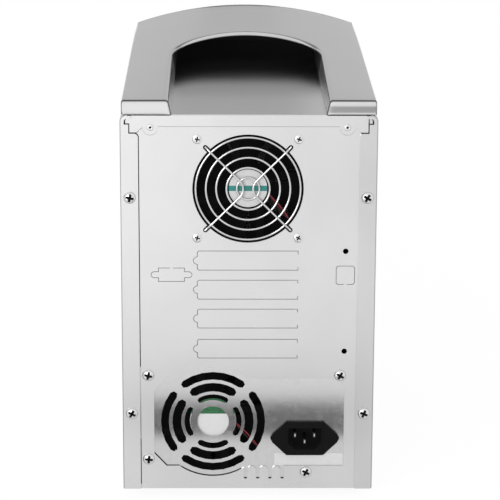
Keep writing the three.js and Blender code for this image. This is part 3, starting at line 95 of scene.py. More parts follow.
def shade(level):
    """A colour from one screen level of grey, or a row of red, green and blue, out of 255. Each becomes
    linear: the level's share c of 255 gives ((c + 0.055) / 1.055) to the power 2.4, or c / 12.92 below
    0.04."""
    share = np.ones(3) * level / 255
    linear = np.where(share < 0.04045, share / 12.92, ((share + 0.055) / 1.055) ** 2.4)
    return (*linear.tolist(), 1.0)


def new_look(name, numbers):
    """A look with the numbers that are the same all over set on its shader. Gives the look and the wire
    of its object coordinates."""
    look = bpy.data.materials.new(name)
    look.use_nodes = True
    tree = look.node_tree
    for socket, number in numbers.items():
        tree.nodes["Principled BSDF"].inputs[socket].default_value = number
    return look, Wire(tree, tree.nodes.new("ShaderNodeTexCoord").outputs["Object"])


def fleck(at, size, out="Color"):
    """Cells of about size millimetres: a random number in each, or with out the distance from its
    middle."""
    return at.node("TexVoronoi", {}, {"Vector": at, "Scale": 1000 / size}, out)


def cloud(at, size, detail=2.0):
    """Soft noise from 0 to 1 with blobs of about size millimetres."""
    return at.node("TexNoise", {}, {"Vector": at, "Scale": 1000 / size, "Detail": detail}, "Fac")


def band(value, low, high):
    """0 below low and 1 above high, with a smooth step between: 3 t squared less 2 t cubed."""
    limits = {"Value": value, "From Min": low, "From Max": high}
    return value.node("MapRange", {"interpolation_type": "SMOOTHSTEP"}, limits)


def between(mask, low, high):
    """The colour low where the mask is 0 and high where it is 1."""
    return mask.node("Mix", {"data_type": "RGBA"}, {0: mask, 6: low, 7: high}, 2)


def finish_look(look, at, colour, roughness, height=None, depth=0.0, more=()):
    """Feeds a look's shader with its colour and roughness, bumps it by height times depth millimetres,
    and feeds it more sockets, each given with its wire."""
    shader = look.node_tree.nodes["Principled BSDF"]
    feeds = {"Base Color": colour, "Roughness": roughness, **dict(more)}
    if height is not None:
        feeds["Normal"] = at.node("Bump", {}, {"Distance": depth / 1000, "Height": height}, "Normal")
    for socket, wire in feeds.items():
        look.node_tree.links.new(wire.socket, shader.inputs[socket])


def mottled_look(name, numbers, size, detail, colours, gloss, depth=0.0):
    """A look that one cloud of about size millimetres varies: its colour between two shades, its
    roughness by the second number of gloss above the first, and its surface by depth millimetres."""
    look, at = new_look(name, numbers)
    tone = cloud(at, size, detail)
    colour = between(tone, shade(colours[0]), shade(colours[1]))
    finish_look(look, at, colour, tone * gloss[1] + gloss[0], tone if depth else None, depth)
    return look


def zinc_look(name, pale, dark, gloss, shadow=None):
    """Zinc flakes: each cell has its own grey and gloss, with a soft haze over all and a fine grain in
    the bump. A shadow is a function of the coordinates that gives 1 where the zinc is dark, and 0
    elsewhere."""
    look, at = new_look(name, {"Metallic": 0.9})
    flake = fleck(at, 3.2) * 0.4 + cloud(at, 26, 3.0) * 0.6
    grain = cloud(at, 0.5, 3.0)
    colour = between(band(flake, 0.15, 0.85), shade(dark), shade(pale))
    if shadow is not None:
        colour = between(shadow(at), colour, shade(38))
    finish_look(look, at, colour, flake * 0.1 + gloss, grain * 0.5 + flake * 0.5, 0.006)
    return look


def wear(look, *names):
    """Gives CAD nodes a look through their objects' material slots."""
    for name in names:
        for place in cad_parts[name].material_slots:
            place.material = look


zinc = zinc_look("zinc_steel", 192, 176, 0.26)
wear(zinc, "base_pan", "front_frame", "drive_cage_left", "drive_cage_right")
wear(zinc, *[f"drive_{bay}_case" for bay in range(1, 5)])

# Feet: four turned rubber feet, narrower below, each with a well in its underside for the screw that
# holds it. The rubber is matt and a little dusty.
case_origin = np.array([0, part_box("left_side_cover")[1].y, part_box("left_side_cover")[0].z])


def corners_of(node):
    """A node's lowest and highest corners in the case's millimetres."""
    return [(np.array(corner) - case_origin) * 1000 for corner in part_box(node)]


def mesh_of(name, points, faces, drawn=True):
    """A mesh of points in metres with its doubles merged. One drawn here also loses faces without area,
    and has the others turned outwards."""
    mesh = bpy.data.meshes.new(name)
    mesh.from_pydata(points.tolist(), [], faces)
    solid = bmesh.new()
    solid.from_mesh(mesh)
    bmesh.ops.remove_doubles(solid, verts=solid.verts, dist=1e-6)
    if drawn:
        bmesh.ops.dissolve_degenerate(solid, dist=1e-7, edges=solid.edges)
        bmesh.ops.recalc_face_normals(solid, faces=solid.faces)
    solid.to_mesh(mesh)
    solid.free()
    return mesh


def quads(rows, columns):
    """The faces of a grid of points: one between each two rows and each two columns."""
    i, j = np.meshgrid(np.arange(rows - 1), np.arange(columns - 1), indexing="ij")
    corner = i * columns + j
    return np.stack([corner, corner + 1, corner + columns + 1, corner + columns], -1).reshape(-1, 4)


def show(name, mesh, body, look, crease=35):
    """Puts a mesh in the scene as a piece that rides on a body. It is smooth but at edges sharper than
    crease."""
    mesh.materials.clear()
    mesh.materials.append(look)
    mesh.shade_smooth()
    mesh.set_sharp_from_angle(angle=math.radians(crease))
    made = bpy.data.objects.new(name, mesh)
    bpy.context.scene.collection.objects.link(made)
    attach(made, body)
    return made


def piece(name, body, slot, look, *parts, crease=35):
    """A piece of one or more parts in the case's millimetres. A part is a grid of rows of columns of
    points, or a pair of points and faces."""
    points, faces, start = [], [], 0
    for part in parts:
        corners, sides = part if isinstance(part, tuple) else (part.reshape(-1, 3), quads(*part.shape[:2]))
        points.append(corners)
        faces += (sides + start).tolist()
        start += len(corners)
    mesh = mesh_of(name, np.concatenate(points) / 1000 + case_origin, faces)
    return show(name, mesh, body, look, crease)


def turned(profile, steps=48):
    """A profile of (radius, height) carried round the z axis: the point at angle a is (r cos a, r sin a,
    h)."""
    radius, height = np.array(profile, float).T[:, :, None]
    angle = np.linspace(0, 2 * np.pi, steps + 1)
    return np.stack([radius * np.cos(angle), radius * np.sin(angle), height + 0 * angle], -1)


def rounded(corners, radius, steps=4):
    """A line of (radius, height) corners with each inner one rounded: a curve drawn from radius before
    the corner to radius after it, as the blend of the three points by (1-t)^2, 2t(1-t) and t^2."""
    corners = np.array(corners, float)
    line = [corners[:1]]
    t = np.linspace(0, 1, steps + 1)[:, None]
    for before, here, after in zip(corners, corners[1:], corners[2:]):
        into, out = before - here, after - here
        start = here + into * min(radius / np.linalg.norm(into), 0.5)
        end = here + out * min(radius / np.linalg.norm(out), 0.5)
        line.append((1 - t) ** 2 * start + 2 * t * (1 - t) * here + t ** 2 * end)
    return np.concatenate([*line, corners[-1:]])


foot_top, foot_bottom, foot_height, foot_seat = 10.0, 8.0, 6.0, 1.0
foot_well, foot_floor, foot_rim = 4.6, 3.2 - foot_height, 0.6
rubber, rubber_at = new_look("foot_rubber", {"Specular IOR Level": 0.3})
dust = cloud(rubber_at, 4, 4.0)
dusty = between(band(dust, 0.4, 0.75), shade(27), shade(44))
finish_look(rubber, rubber_at, dusty, dust * 0.2 + 0.65, cloud(rubber_at, 0.4), 0.05)
foot_line = [[0, foot_floor], [foot_well, foot_floor], [foot_well, -foot_height],
             [foot_bottom, -foot_height], [foot_top, 0], [foot_top, foot_seat], [0, foot_seat]]
for place in ("front_left", "front_right", "back_left", "back_right"):
    low, high = corners_of("foot_" + place)
    middle = (low + high) / 2
    grid = turned(rounded(foot_line, foot_rim)) + (middle[0], middle[1], 0)
    foot = piece("rubber_foot_" + place, "tower", "foot_rubber", rubber, grid)
    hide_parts("foot_" + place)

# Back panel: zinc-plated sheet steel with a satin surface, punched for the fans, the power supply and the
# knock-outs, and pressed flat. Slits leave each knock-out held by a bridge of sheet.
case_top, cover_half, cover_bend = 278.5, 90.35, 5.0
# Painted shade: the covers' back folds and the deck under the handle's hood are darkened in colour.
fold_shade_from, fold_shade_deep, hood_shade_from, hood_shade_to = 4.2, 0.6, 105.0, 45.0
painted_fold_shade, painted_hood_shade, satin_gloss, deck_gloss = 158, 168, 0.3, 0.135


def metres(at, axis):
    """A point's x, y or z in the row's frame, in metres."""
    return at.node("SeparateXYZ", {}, {0: at}, axis)


def coordinate(at, axis):
    """A point's place along the case's x, y or z, in millimetres."""
    start = float(case_origin["XYZ".index(axis)])
    return (metres(at, axis) - start) * 1000


def steel_look(name, pale, dark):
    """Satin plating: an even grey with a slow change of tone and gloss, a fine grain and a few faint
    specks. On the deck, hands and cloths have polished it. Painted shade darkens the deck under the
    handle's hood and a thin line round the covers' back folds."""
    look, at = new_look(name, {})
    tone = cloud(at, 70, 3.0)
    speck = band(fleck(at, 2.4, "Distance"), 0.05, 0.14)
    grain = cloud(at, 0.6, 3.0)
    across, depth, height = [coordinate(at, axis) for axis in "XYZ"]
    past = [side.maths("MAXIMUM", side - start, 0.0) for side, start in
            ((abs(across), cover_half - cover_bend), (height, case_top - cover_bend))]
    reach = past[0].maths("SQRT", past[0] * past[0] + past[1] * past[1])
    # Painted shade: a darker line round the covers' back folds.
    fold_shade = band(reach, fold_shade_from, fold_shade_from + 0.3) * band(depth, -fold_shade_deep - 0.4, -fold_shade_deep)
    plated = between(band(tone, 0.25, 0.75) * 0.75 + speck * 0.25, shade(dark), shade(pale))
    dull = 1 - band(height, case_top - 1.5, case_top - 0.5)
    # Painted shade: the deck is darker in colour under the handle's hood.
    hood_shade = (1 - band(depth, -hood_shade_from, -hood_shade_to)) * (1 - dull)
    colour = between(hood_shade, between(fold_shade, plated, shade(painted_fold_shade)), shade(painted_hood_shade))
    roughness = tone * 0.06 + grain * 0.02 + dull * (satin_gloss - deck_gloss) + deck_gloss
    finish_look(look, at, colour, roughness, grain * dull, 0.004, {"Metallic": 1 - dull * 0.12})
    return look


def arc(x, z, radius, start, end, steps):
    """Points (x + r cos a, z + r sin a) from one angle in degrees to another."""
    a = np.radians(np.linspace(start, end, steps + 1))
    return np.stack([x + radius * np.cos(a), z + radius * np.sin(a)], -1)


def slit(line, width):
    """The outline of a cut along an open line: each point moved by half the width to either side, along
    the sum of the directions before and after it turned by a quarter, and lengthened there to keep the
    width."""
    line = np.array(line, float)
    step = np.diff(line, axis=0)
    step /= np.linalg.norm(step, axis=1, keepdims=True)
    into, out = np.concatenate([step[:1], step]), np.concatenate([step, step[-1:]])
    mitre = into + out
    mitre /= np.linalg.norm(mitre, axis=1, keepdims=True)
    reach = width / 2 / (mitre * out).sum(1, keepdims=True)
    aside = np.stack([-mitre[:, 1], mitre[:, 0]], -1) * reach
    return np.concatenate([line + aside, (line - aside)[::-1]])


def values_of(items, attribute, width, kind=float):
    """An attribute of a mesh's points or faces, width values to a row."""
    values = np.empty(len(items) * width, kind)
    items.foreach_get(attribute, values)
    return values.reshape(-1, width)


def plate(outline, holes, y_back, y_front):
    """A flat plate between two planes of y, as points and triangles: the (x, z) outline and its holes
    become a flat curve, whose filled area is drawn out by half the thickness to either side. No grid
    could follow them."""
    curve = bpy.data.curves.new("plate", "CURVE")
    curve.dimensions, curve.fill_mode, curve.extrude = "2D", "BOTH", abs(y_back - y_front) / 2
    for loop in (outline, *holes):
        line = curve.splines.new("POLY")
        line.points.add(len(loop) - 1)
        line.points.foreach_set("co", np.column_stack([loop, 0 * loop[:, 0], 0 * loop[:, 0] + 1]).ravel())
        line.use_cyclic_u = True
    drawn = bpy.data.objects.new("plate", curve)
    filled = bpy.data.meshes.new_from_object(drawn)
    filled.calc_loop_triangles()
    across, up, out = values_of(filled.vertices, "co", 3).T
    triangles = values_of(filled.loop_triangles, "vertices", 3, int)
    bpy.data.objects.remove(drawn)
    bpy.data.curves.remove(curve)
    bpy.data.meshes.remove(filled)
    return np.stack([across, out + (y_back + y_front) / 2, up], -1), triangles


large_face = 400.0


def eased(made, radius, steps=2, crease=30, fold=None, fold_radius=0.0, joints=()):
    """Makes flat faces whole and rounds the edges sharper than crease with a Bevel, those of a fold by
    more: fold() picks their points in the case's millimetres. Edges in the joints' planes of y stay as
    they are, and a large flat face keeps its own normals where a bend starts."""
    solid = bmesh.new()
    solid.from_mesh(made.data)
    bmesh.ops.dissolve_limit(solid, angle_limit=math.radians(0.5), verts=solid.verts, edges=solid.edges)
    weight = solid.edges.layers.float.new("bevel_weight_edge")
    widest = max(radius, fold_radius)
    for line in solid.edges:
        if line.calc_face_angle(0.0) > math.radians(crease):
            ends = [(np.array(end.co) - case_origin) * 1000 for end in line.verts]
            folded = fold is not None and all(fold(*end) for end in ends)
            joined = any(all(abs(end[1] - y) < 0.02 for end in ends) for y in joints)
            line[weight] = 0.0 if joined else 1.0 if folded else radius / widest
        elif max(side.calc_area() for side in line.link_faces) > large_face / 1e6:
            line.smooth = False
    solid.to_mesh(made.data)
    solid.free()
    edge = made.modifiers.new("edge", "BEVEL")
    edge.width, edge.segments, edge.limit_method = widest / 1000, steps, "WEIGHT"
    edge.harden_normals = True


def softened(node, name, look, radius, steps=2, crease=35, body="tower"):
    """A copy of a CAD node with its doubles merged and its edges rounded."""
    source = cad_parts[node].data
    order = values_of(source.loops, "vertex_index", 1, int).reshape(-1, 3)
    mesh = mesh_of(name, values_of(source.vertices, "co", 3), order.tolist(), drawn=False)
    made = show(name, mesh, body, look, crease)
    eased(made, radius, steps, crease)
    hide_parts(node)
    return made


steel = steel_look("case_steel", 216, 209)
panel_face, panel_inside, panel_half, panel_lip = -1.1, -2.1, 89.05, 12.0
fan_x, fan_z, fan_opening, notch_reach, notch_half = 0.5, 225.0, 39.2, 44.1, 1.7
supply_x, supply_z, scallop = 25.2, 51.2, 41.7
window_left, window_right, window_low, window_high = 67.7, -69.5, 17.5, 84.4
cut_x, cut_z, upper_cut = window_left - 8.8, 9.5, (5.2, 8.3)
tooth_first, tooth_pitch, tooth_count, slot_foot, slot_radius, tooth_top = 1.6, 8.9, 4, 8.7, 1.3, 17.2
cut_width, card_left, card_width, card_height, card_tab = 0.36, 36.3, 71.5, 14.1, 2.8
card_hook, card_corner, card_heights = 2.4, 1.0, (172.6, 151.05, 129.5, 106.9)
nine_x, nine_z, nine_half, nine_body, nine_height, nine_ear = 54.65, 162.15, 14.55, 9.25, 9.9, 2.2
square_x, square_z, square_width, square_height, square_corner, bridge = -68.95, 161.8, 13.1, 13.6, 1.2, 1.1
round_holes, round_radius = ((-68.95, 179.5), (-68.95, 105.0)), 2.0


def fan_cut():
    """The round opening with four diagonal notches: each notch leaves the circle where it is half its own
    width from the diagonal, and ends in a half circle."""
    part = math.degrees(math.asin(notch_half / fan_opening))
    loop = []
    for middle in (45, 135, 225, 315):
        turn = math.radians(middle)
        end = arc((notch_reach - notch_half) * math.cos(turn), (notch_reach - notch_half) * math.sin(turn),
                  notch_half, middle - 90, middle + 90, 8)
        loop += [arc(0, 0, fan_opening, middle - 90 + part, middle - part, 18), end]
    return np.concatenate(loop) + (fan_x, fan_z)


def window_cut():
    """The power supply's window: a rectangle with cut corners, widened by the scallop round its fan, with
    the comb's slots and round teeth along its lower edge."""
    upper, lower = [math.degrees(math.asin((z - supply_z) / scallop)) for z in (window_high, window_low)]
    tooth = tooth_pitch / 2 - slot_radius
    comb = []
    for number in range(tooth_count):
        x = tooth_first - number * tooth_pitch
        comb.append(arc(x, slot_foot, slot_radius, 0, -180, 12))
        if number < tooth_count - 1:
            comb.append(arc(x - tooth_pitch / 2, tooth_top - tooth, tooth, 0, 180, 14))
    far = tooth_first - (tooth_count - 1) * tooth_pitch - slot_radius
    right = [(far, window_low), (window_right, window_low), (window_right, window_high - upper_cut[1]),
             (window_right + upper_cut[0], window_high)]
    left = [(cut_x, window_high), (window_left, window_high - cut_z), (window_left, window_low + cut_z),
            (cut_x, window_low)]
    top = arc(supply_x, supply_z, scallop, 180 - upper, upper, 30)
    bottom = arc(supply_x, supply_z, scallop, lower, -180 - lower, 30)
    start = tooth_first + slot_radius
    meet = [(start, supply_z - math.sqrt(scallop ** 2 - (start - supply_x) ** 2))]
    return np.concatenate([right, top, left, bottom[bottom[:, 0] > start], meet, *comb])


def card_cut(z):
    """A card's slit: open at one end, where two hooks leave the blank on its bridge, with a round tab
    opposite."""
    right, low, high = card_left - card_width, z - card_height / 2, z + card_height / 2
    tab = arc(card_left, z, card_tab, 90, -90, 12)
    inner = card_left - card_corner
    line = [(right, high - card_hook), (right, high), (inner, high), (card_left, high - card_corner), *tab,
            (card_left, low + card_corner), (inner, low), (right, low), (right, low + card_hook)]
    return slit(line, cut_width)


def socket_cut():
    """The nine-pin socket's slit: its body with a round ear to either side, open for a bridge at the
    top."""
    left, right, top, ear = nine_x - nine_body, nine_x + nine_body, nine_height / 2, nine_ear
    reach = nine_half - ear
    line = [(nine_x - bridge, nine_z + top), (left, nine_z + top), (left, nine_z + ear),
            *arc(nine_x - reach, nine_z, ear, 90, 270, 10), (left, nine_z - ear), (left, nine_z - top),
            (right, nine_z - top), (right, nine_z - ear), *arc(nine_x + reach, nine_z, ear, -90, 90, 10),
            (right, nine_z + ear), (right, nine_z + top), (nine_x + bridge, nine_z + top)]
    return slit(line, cut_width)


def square_cut():
    """The square socket's slit, with cut corners and a bridge at the bottom."""
    half, tall, c = square_width / 2, square_height / 2, square_corner
    line = [(-bridge, -tall), (c - half, -tall), (-half, c - tall), (-half, tall - c), (c - half, tall),
            (half - c, tall), (half, tall - c), (half, c - tall), (half - c, -tall), (bridge, -tall)]
    return slit(np.array(line) + (square_x, square_z), cut_width)


rivet_x, rivet_z, lobe_radius = 69.0, 269.2, 5.4
flange_edge, flange_foot, shoulder_in, shoulder_out, flange_half = 269.9, 265.6, 74.6, 78.2, 83.6
flange_in, shoulder_z = 77.65, 265.0
lobe = arc(rivet_x, rivet_z, lobe_radius, 185, 355, 14)
flange_x = np.concatenate([[0, rivet_x - 5.5], lobe[:, 0],
                           [shoulder_in, shoulder_out, shoulder_out + 0.6, flange_half]])
flange_z = np.concatenate([[flange_edge] * 2, lobe[:, 1], [flange_edge - 0.6, flange_foot + 0.4],
                           [flange_foot] * 2])
flange_x, flange_z = np.append(-flange_x[:0:-1], flange_x), np.append(flange_z[:0:-1], flange_z)
flange_seam, left_seam, right_seam, corner_seam = 0.14, 0.04, 0.3, 0.8
gap_width, gap_radius, gap_foot, land_x, land_z, panel_shoulder = 0.6, 3.3, 3.5, 78.3, 262.0, 264.4
sides = [abs(flange_x) > land_x, flange_x > shoulder_in - 0.1, flange_x < 0.1 - shoulder_in]
drop = np.select(sides, [corner_seam, right_seam, left_seam], flange_seam)
panel_edge = np.stack([flange_x, flange_z - drop], -1)
gap_x = flange_in - gap_width
corner = arc(gap_x + gap_radius, shoulder_z - gap_radius + gap_width, gap_radius, 120, 180, 8)
beside = [(gap_x, gap_foot), (land_x, gap_foot), (land_x, land_z), (land_x + 2.2, panel_shoulder),
          (panel_half, panel_shoulder)]
edge_line = np.concatenate([[(-panel_half, panel_shoulder)], panel_edge[1:-3], corner, beside])
panel_outline = np.concatenate([[(panel_half, 0), (-panel_half, 0)], edge_line])[::-1]
panel_cuts = [fan_cut(), window_cut(), socket_cut(), square_cut(), *[card_cut(z) for z in card_heights]]
panel_cuts += [arc(x, z, round_radius, 0, 345, 23) for x, z in round_holes]
lip_outline = np.array([(-panel_half, 2.2), (panel_half, 2.2), (panel_half, 3.2), (-panel_half, 3.2)])
panel_parts = [plate(panel_outline, panel_cuts, panel_face, panel_inside),
               plate(lip_outline, [], panel_inside, panel_inside - panel_lip)]
panel = piece("panel_back", "tower", "case_steel", steel, *panel_parts, crease=30)
eased(panel, 0.12, 1)
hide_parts("back_panel")

# Top panel: the same sheet, bent down over the back and riveted there. The turned-down edge runs out in a
# lobe round each rivet, and the sides of the deck step down under the covers.
sheet, top_bend = 1.0, 1.2
step_start, step_end, step_drop, step_back, deck_front = 75.05, 77.05, 1.1, 3.6, 319.9


def top_sheet(inset):
    """The sheet's surface, inset millimetres inside its outer one, as rows across: up the back, round the
    bend by (r cos a, r sin a) about the bend's axis, and along the deck, which sinks at the sides by the
    step's share."""
    x = np.unique(np.append(flange_x, [-step_end, -step_start, step_start, step_end]))
    low = np.interp(x, flange_x, flange_z)
    axis_y, axis_z, radius = panel_face - top_bend, case_top - top_bend, top_bend - inset
    rows = [(0 * x + axis_y + radius, low + (axis_z - low) * share) for share in np.linspace(0, 1, 4)[:-1]]
    rows += [(0 * x + axis_y + radius * math.cos(a), 0 * x + axis_z + radius * math.sin(a))
             for a in np.linspace(0, np.pi / 2, 7)]
    sunk = np.clip((abs(x) - step_start) / (step_end - step_start), 0, 1) * step_drop
    rows += [(0 * x - back, axis_z + radius - sunk) for back in (step_back, 110, 220, deck_front)]
    return np.array([np.stack([x, y, z], -1) for y, z in rows])


def rims(one, other):
    """The four strips that join the edges of two grids of the same size."""
    return [np.stack(pair) for pair in ((one[0], other[0]), (one[-1], other[-1]),
                                        (one[:, 0], other[:, 0]), (one[:, -1], other[:, -1]))]


outside, inside = top_sheet(0), top_sheet(sheet)
top = piece("panel_top", "tower", "case_steel", steel, outside, inside, *rims(outside, inside), crease=30)
eased(top, 0.15, 1)
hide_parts("top_panel")

# Side covers: the same sheet, folded round the top and the bottom, and round the back into a flange that
# the screws hold. Above its notch a narrow rim goes on round the corner, with a hooked tab inside it.
cover_depth, cover_in, bottom_in, bottom_bend, hair = 321.0, 77.35, 78.35, 1.2, 0.01
shoulder_round, notch_x, notch_z, rim, rim_step = 2.7, 84.25, 271.5, 2.95, 0.8
tab_x, tab_low, tab_high, tab_face, tab_deep, web_face = 82.4, 272.1, 275.6, -1.0, -14.0, -9.0
tab_outline = np.array([(tab_x, tab_low), (86.45, tab_low), (86.45, 273.9), (86.0, 274.9), (85.4, tab_high),
                        (tab_x, tab_high)])
tab_web = np.array([(tab_x, 272.6), (89.4, 272.6), (89.4, 273.4), (tab_x, 273.4)])


def cover_parts(side):
    """The parts of a cover: the wall with its folded-in edges, each arc being (x + r cos a, z + r sin a)
    and its inner one a sheet's thickness less, the flange at the back, and the tab with the web that
    holds it. The parts stop a hair short of each other, so that each stays closed."""
    bend_x, bend_z = cover_half - cover_bend, case_top - cover_bend
    low_x = cover_half - bottom_bend
    bottom = arc(low_x, bottom_bend, bottom_bend, -90, 0, 5)
    outer = arc(bend_x, bend_z, cover_bend, 0, 90, 12)
    within = arc(bend_x, bend_z, cover_bend - sheet, 90, 0, 12)
    foot = arc(low_x, bottom_bend, bottom_bend - sheet, 0, -90, 3)
    wall = np.array([(bottom_in, sheet), (bottom_in, 0), *bottom, *outer, *within, *foot])
    roofed = np.array([(bottom_in, sheet), (bottom_in, 0), *bottom, *outer, (cover_in, case_top),
                       (cover_in, case_top - sheet), *within, *foot])
    below_top = case_top - rim_step
    under_rim = [(bend_x - 0.6, below_top), (tab_x, below_top), (tab_x, case_top - rim),
                 *arc(bend_x, bend_z, cover_bend - rim, 90, 0, 8), (cover_half - rim, notch_z)]
    shoulder = arc(flange_in + shoulder_round, shoulder_z - shoulder_round, shoulder_round, 90, 180, 8)
    flange = np.array([(flange_in, 0), *bottom, *outer, *under_rim, (notch_x, notch_z),
                       (notch_x, shoulder_z), *shoulder])
    tab = tab_outline if side > 0 else np.maximum(tab_outline, (notch_x, 0))
    cuts = ((wall, -sheet - hair, hair - step_back), (roofed, -step_back - hair, -cover_depth),
            (flange, 0, -sheet), (tab, tab_face, tab_deep), (tab_web, web_face, tab_deep))
    return [plate(outline * (side, 1), [], back, front) for outline, back, front in cuts]


def at_back_fold(x, y, z):
    """Whether a point is on the fold from the wall, or from its bend, into the flange or the rim."""
    bent = math.hypot(abs(x) - cover_half + cover_bend, z - case_top + cover_bend) > cover_bend - 0.01
    return y > -0.01 and (abs(x) > cover_half - 0.01 or (bent and z > case_top - cover_bend))


# Painted shade: the cover at negative x takes a darker copy of the steel, for the side away from the key
# lamp.
for name, side, coat in (("left", -1, steel_look("cover_steel_shaded", 208, 200)), ("right", 1, steel)):
    cover = piece("cover_" + name, "tower", "case_steel", coat, *cover_parts(side), crease=30)
    eased(cover, 0.15, 3, 30, at_back_fold, 0.85, (-sheet, -step_back))
    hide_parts(name + "_side_cover")

# Rivets: two blind rivets of aluminium join the top panel's flange to the back panel. Each has a low
# domed head round the hole that its mandrel left, and the hole is painted black inside as painted shade.


def facing_back(points):
    """Turns what was drawn upwards so that its top faces outwards through the back: (x, y, z) to (x, z,
    -y)."""
    return np.stack([points[..., 0], points[..., 2], -points[..., 1]], -1)


rivet_head, rivet_rise, rivet_hole, rivet_sink = 2.5, 0.5, 0.8, 1.2
# Painted shade: a black for the insides of small holes, where there is only shade.
pit_shade_black = mottled_look("pit_shade_black", {"Specular IOR Level": 0.1}, 0.8, 2.0, (8, 14), (0.8, 0.1))
rivet_metal = mottled_look("rivet_aluminium", {"Metallic": 0.9}, 0.8, 3.0, (205, 226), (0.25, 0.2), 0.03)
rivet_line = rounded([[0, -rivet_sink], [rivet_hole * 0.9, -rivet_sink], [rivet_hole, rivet_rise],
                      [rivet_head * 0.75, rivet_rise], [rivet_head, 0], [rivet_head, -0.2],
                      [0, -0.2 - rivet_sink]], 0.3)
core_line = rounded([[0, -rivet_sink], [rivet_hole, -rivet_sink], [rivet_hole, rivet_rise - 0.25],
                     [0, rivet_rise - 0.35]], 0.1)
for side, x in (("left", -rivet_x), ("right", rivet_x)):
    seat = np.array([x, panel_face, rivet_z])
    head = facing_back(turned(rivet_line)) + seat
    core = facing_back(turned(core_line, 24)) + seat
    piece("blind_rivet_" + side, "tower", "case_steel", rivet_metal, head)
    piece("rivet_core_" + side, "tower", "screw_steel", pit_shade_black, core)

# Handle cap: one black moulding over the top, with two legs and an arched hood that is hollow below, so
# that a hand can lift the tower. Its outside is sprayed silver and its inside left bare. It clips into
# the top panel. A thin black strip under each leg's end, on the deck, is painted shadow for the gap there.
cap_half, cap_grip, cap_foot, cap_z, cap_leg, cap_rise = 89.325, 56.025, 54.225, 278.6, 10.0, 16.7
cap_radius, cap_hood, cap_crest, cap_front, cap_back = 267.0, 147.8, 300.0, 321.0, 285.0
cap_edge, cap_lip, cap_nose, cap_wall, end_edge, end_bow = 1.8, 2.6, 9.0, 2.6, 1.3, 0.12
crest_shade_from, crest_shade_to, crest_shade_blur, end_shade_low, end_shade_high = 0.5, 3.0, 0.5, 280.0, 284.6
nose_straight, face_rows = 0.45, np.array([0.08, 0.25, 0.45, 0.65, 0.85, 1.0])


def silver_colour(at, flakes):
    """The lacquer's colour: silver flakes, a thin dark line of painted shade along the crest of the legs'
    ends, a painted highlight on the ends themselves, and a band of painted shade low on the left leg's end."""
    from_back, up = coordinate(at, "Y") * -1, coordinate(at, "Z")
    past_end = band(from_back, crest_shade_from - crest_shade_blur, crest_shade_from)
    # Painted shade: a thin dark line along the crest of the legs' ends.
    crest = past_end - band(from_back, crest_shade_to, crest_shade_to + crest_shade_blur)
    # Painted shade: a darker band low on the left leg's end.
    left_end = band(coordinate(at, "X") * -1, 50, 60) * (1 - band(from_back, 0.1, 0.4))
    end_shade_band = band(up, end_shade_low - 0.6, end_shade_low + 0.6) * (1 - band(up, end_shade_high - 1, end_shade_high + 1))
    sprayed = between(band(flakes, 0.15, 0.85), shade(208), shade(216))
    # Painted highlight: the legs' end faces are brighter in colour.
    ended = between(left_end * end_shade_band, between(1 - past_end, sprayed, shade(234)), shade(172))
    return between(crest, ended, shade(84))


silver, silver_at = new_look("silver_lacquer", {"Metallic": 0.72, "Specular IOR Level": 0.5})
flakes = fleck(silver_at, 0.35) * 0.4 + cloud(silver_at, 60, 2.0) * 0.6
finish_look(silver, silver_at, silver_colour(silver_at, flakes), flakes * 0.05 + 0.17,
            cloud(silver_at, 0.5), 0.006)
# Painted light: a faint glow keeps the bare black inside the hood from going fully black in its shade.
painted_glow_lift = {"Emission Color": (1, 1, 1, 1), "Emission Strength": 0.0035}
bare_black, bare_at = new_look("bare_moulding", {"Specular IOR Level": 0.2, **painted_glow_lift})
mould_grain = cloud(bare_at, 0.6, 3.0)
finish_look(bare_black, bare_at, between(cloud(bare_at, 20), shade(12), shade(18)), mould_grain * 0.1 + 0.6,
            mould_grain, 0.03)


def crown(x, back):
    """Height of the cap's top: the legs' height plus a circle's arch across, which grows evenly with the
    distance from the back as far as the crest."""
    arch = cap_rise - (cap_radius - np.sqrt(cap_radius ** 2 - x ** 2))
    return case_top + cap_leg + arch * np.minimum(back / cap_crest, 1)


def cap_stations():
    """The cap's cross-sections, round the hand-hold: per row the x and the distance from the back of the
    grip, crest and rim points, the nose's drop, and the wall's share."""
    leg_back = np.append(np.linspace(end_edge, cap_hood, 12), cap_hood)
    crest_x = cap_half - cap_edge
    ones = np.ones(len(leg_back))
    wall = np.concatenate([ones[:-1], [0.0]])
    legs = np.stack([-cap_grip * ones, leg_back, -crest_x * ones, leg_back, -cap_half * ones, leg_back,
                     cap_edge * ones, wall], -1)
    corner = math.atan2(cap_crest - cap_hood, crest_x)
    share = np.linspace(0, 1, 25)[1:]
    angle = share * corner
    deep = cap_hood + share * (cap_crest - cap_hood)
    sides = np.stack([-cap_grip * np.cos(angle), cap_hood + cap_grip * np.sin(angle), -crest_x + 0 * share,
                      deep, -cap_half + 0 * share, cap_hood + share * (cap_front - cap_hood),
                      cap_edge + (cap_nose - cap_edge) * share ** 4, 0 * share], -1)
    angle = corner + share * (np.pi / 2 - corner)
    arch = np.stack([-cap_grip * np.cos(angle), cap_hood + cap_grip * np.sin(angle), -crest_x * (1 - share),
                     cap_crest + 0 * share, -cap_half * (1 - share), cap_front + 0 * share,
                     cap_nose + 0 * share, 0 * share], -1)
    half = np.concatenate([legs, sides, arch])
    other = half[-2::-1].copy()
    other[:, (0, 2, 4)] *= -1
    return np.concatenate([half, other])


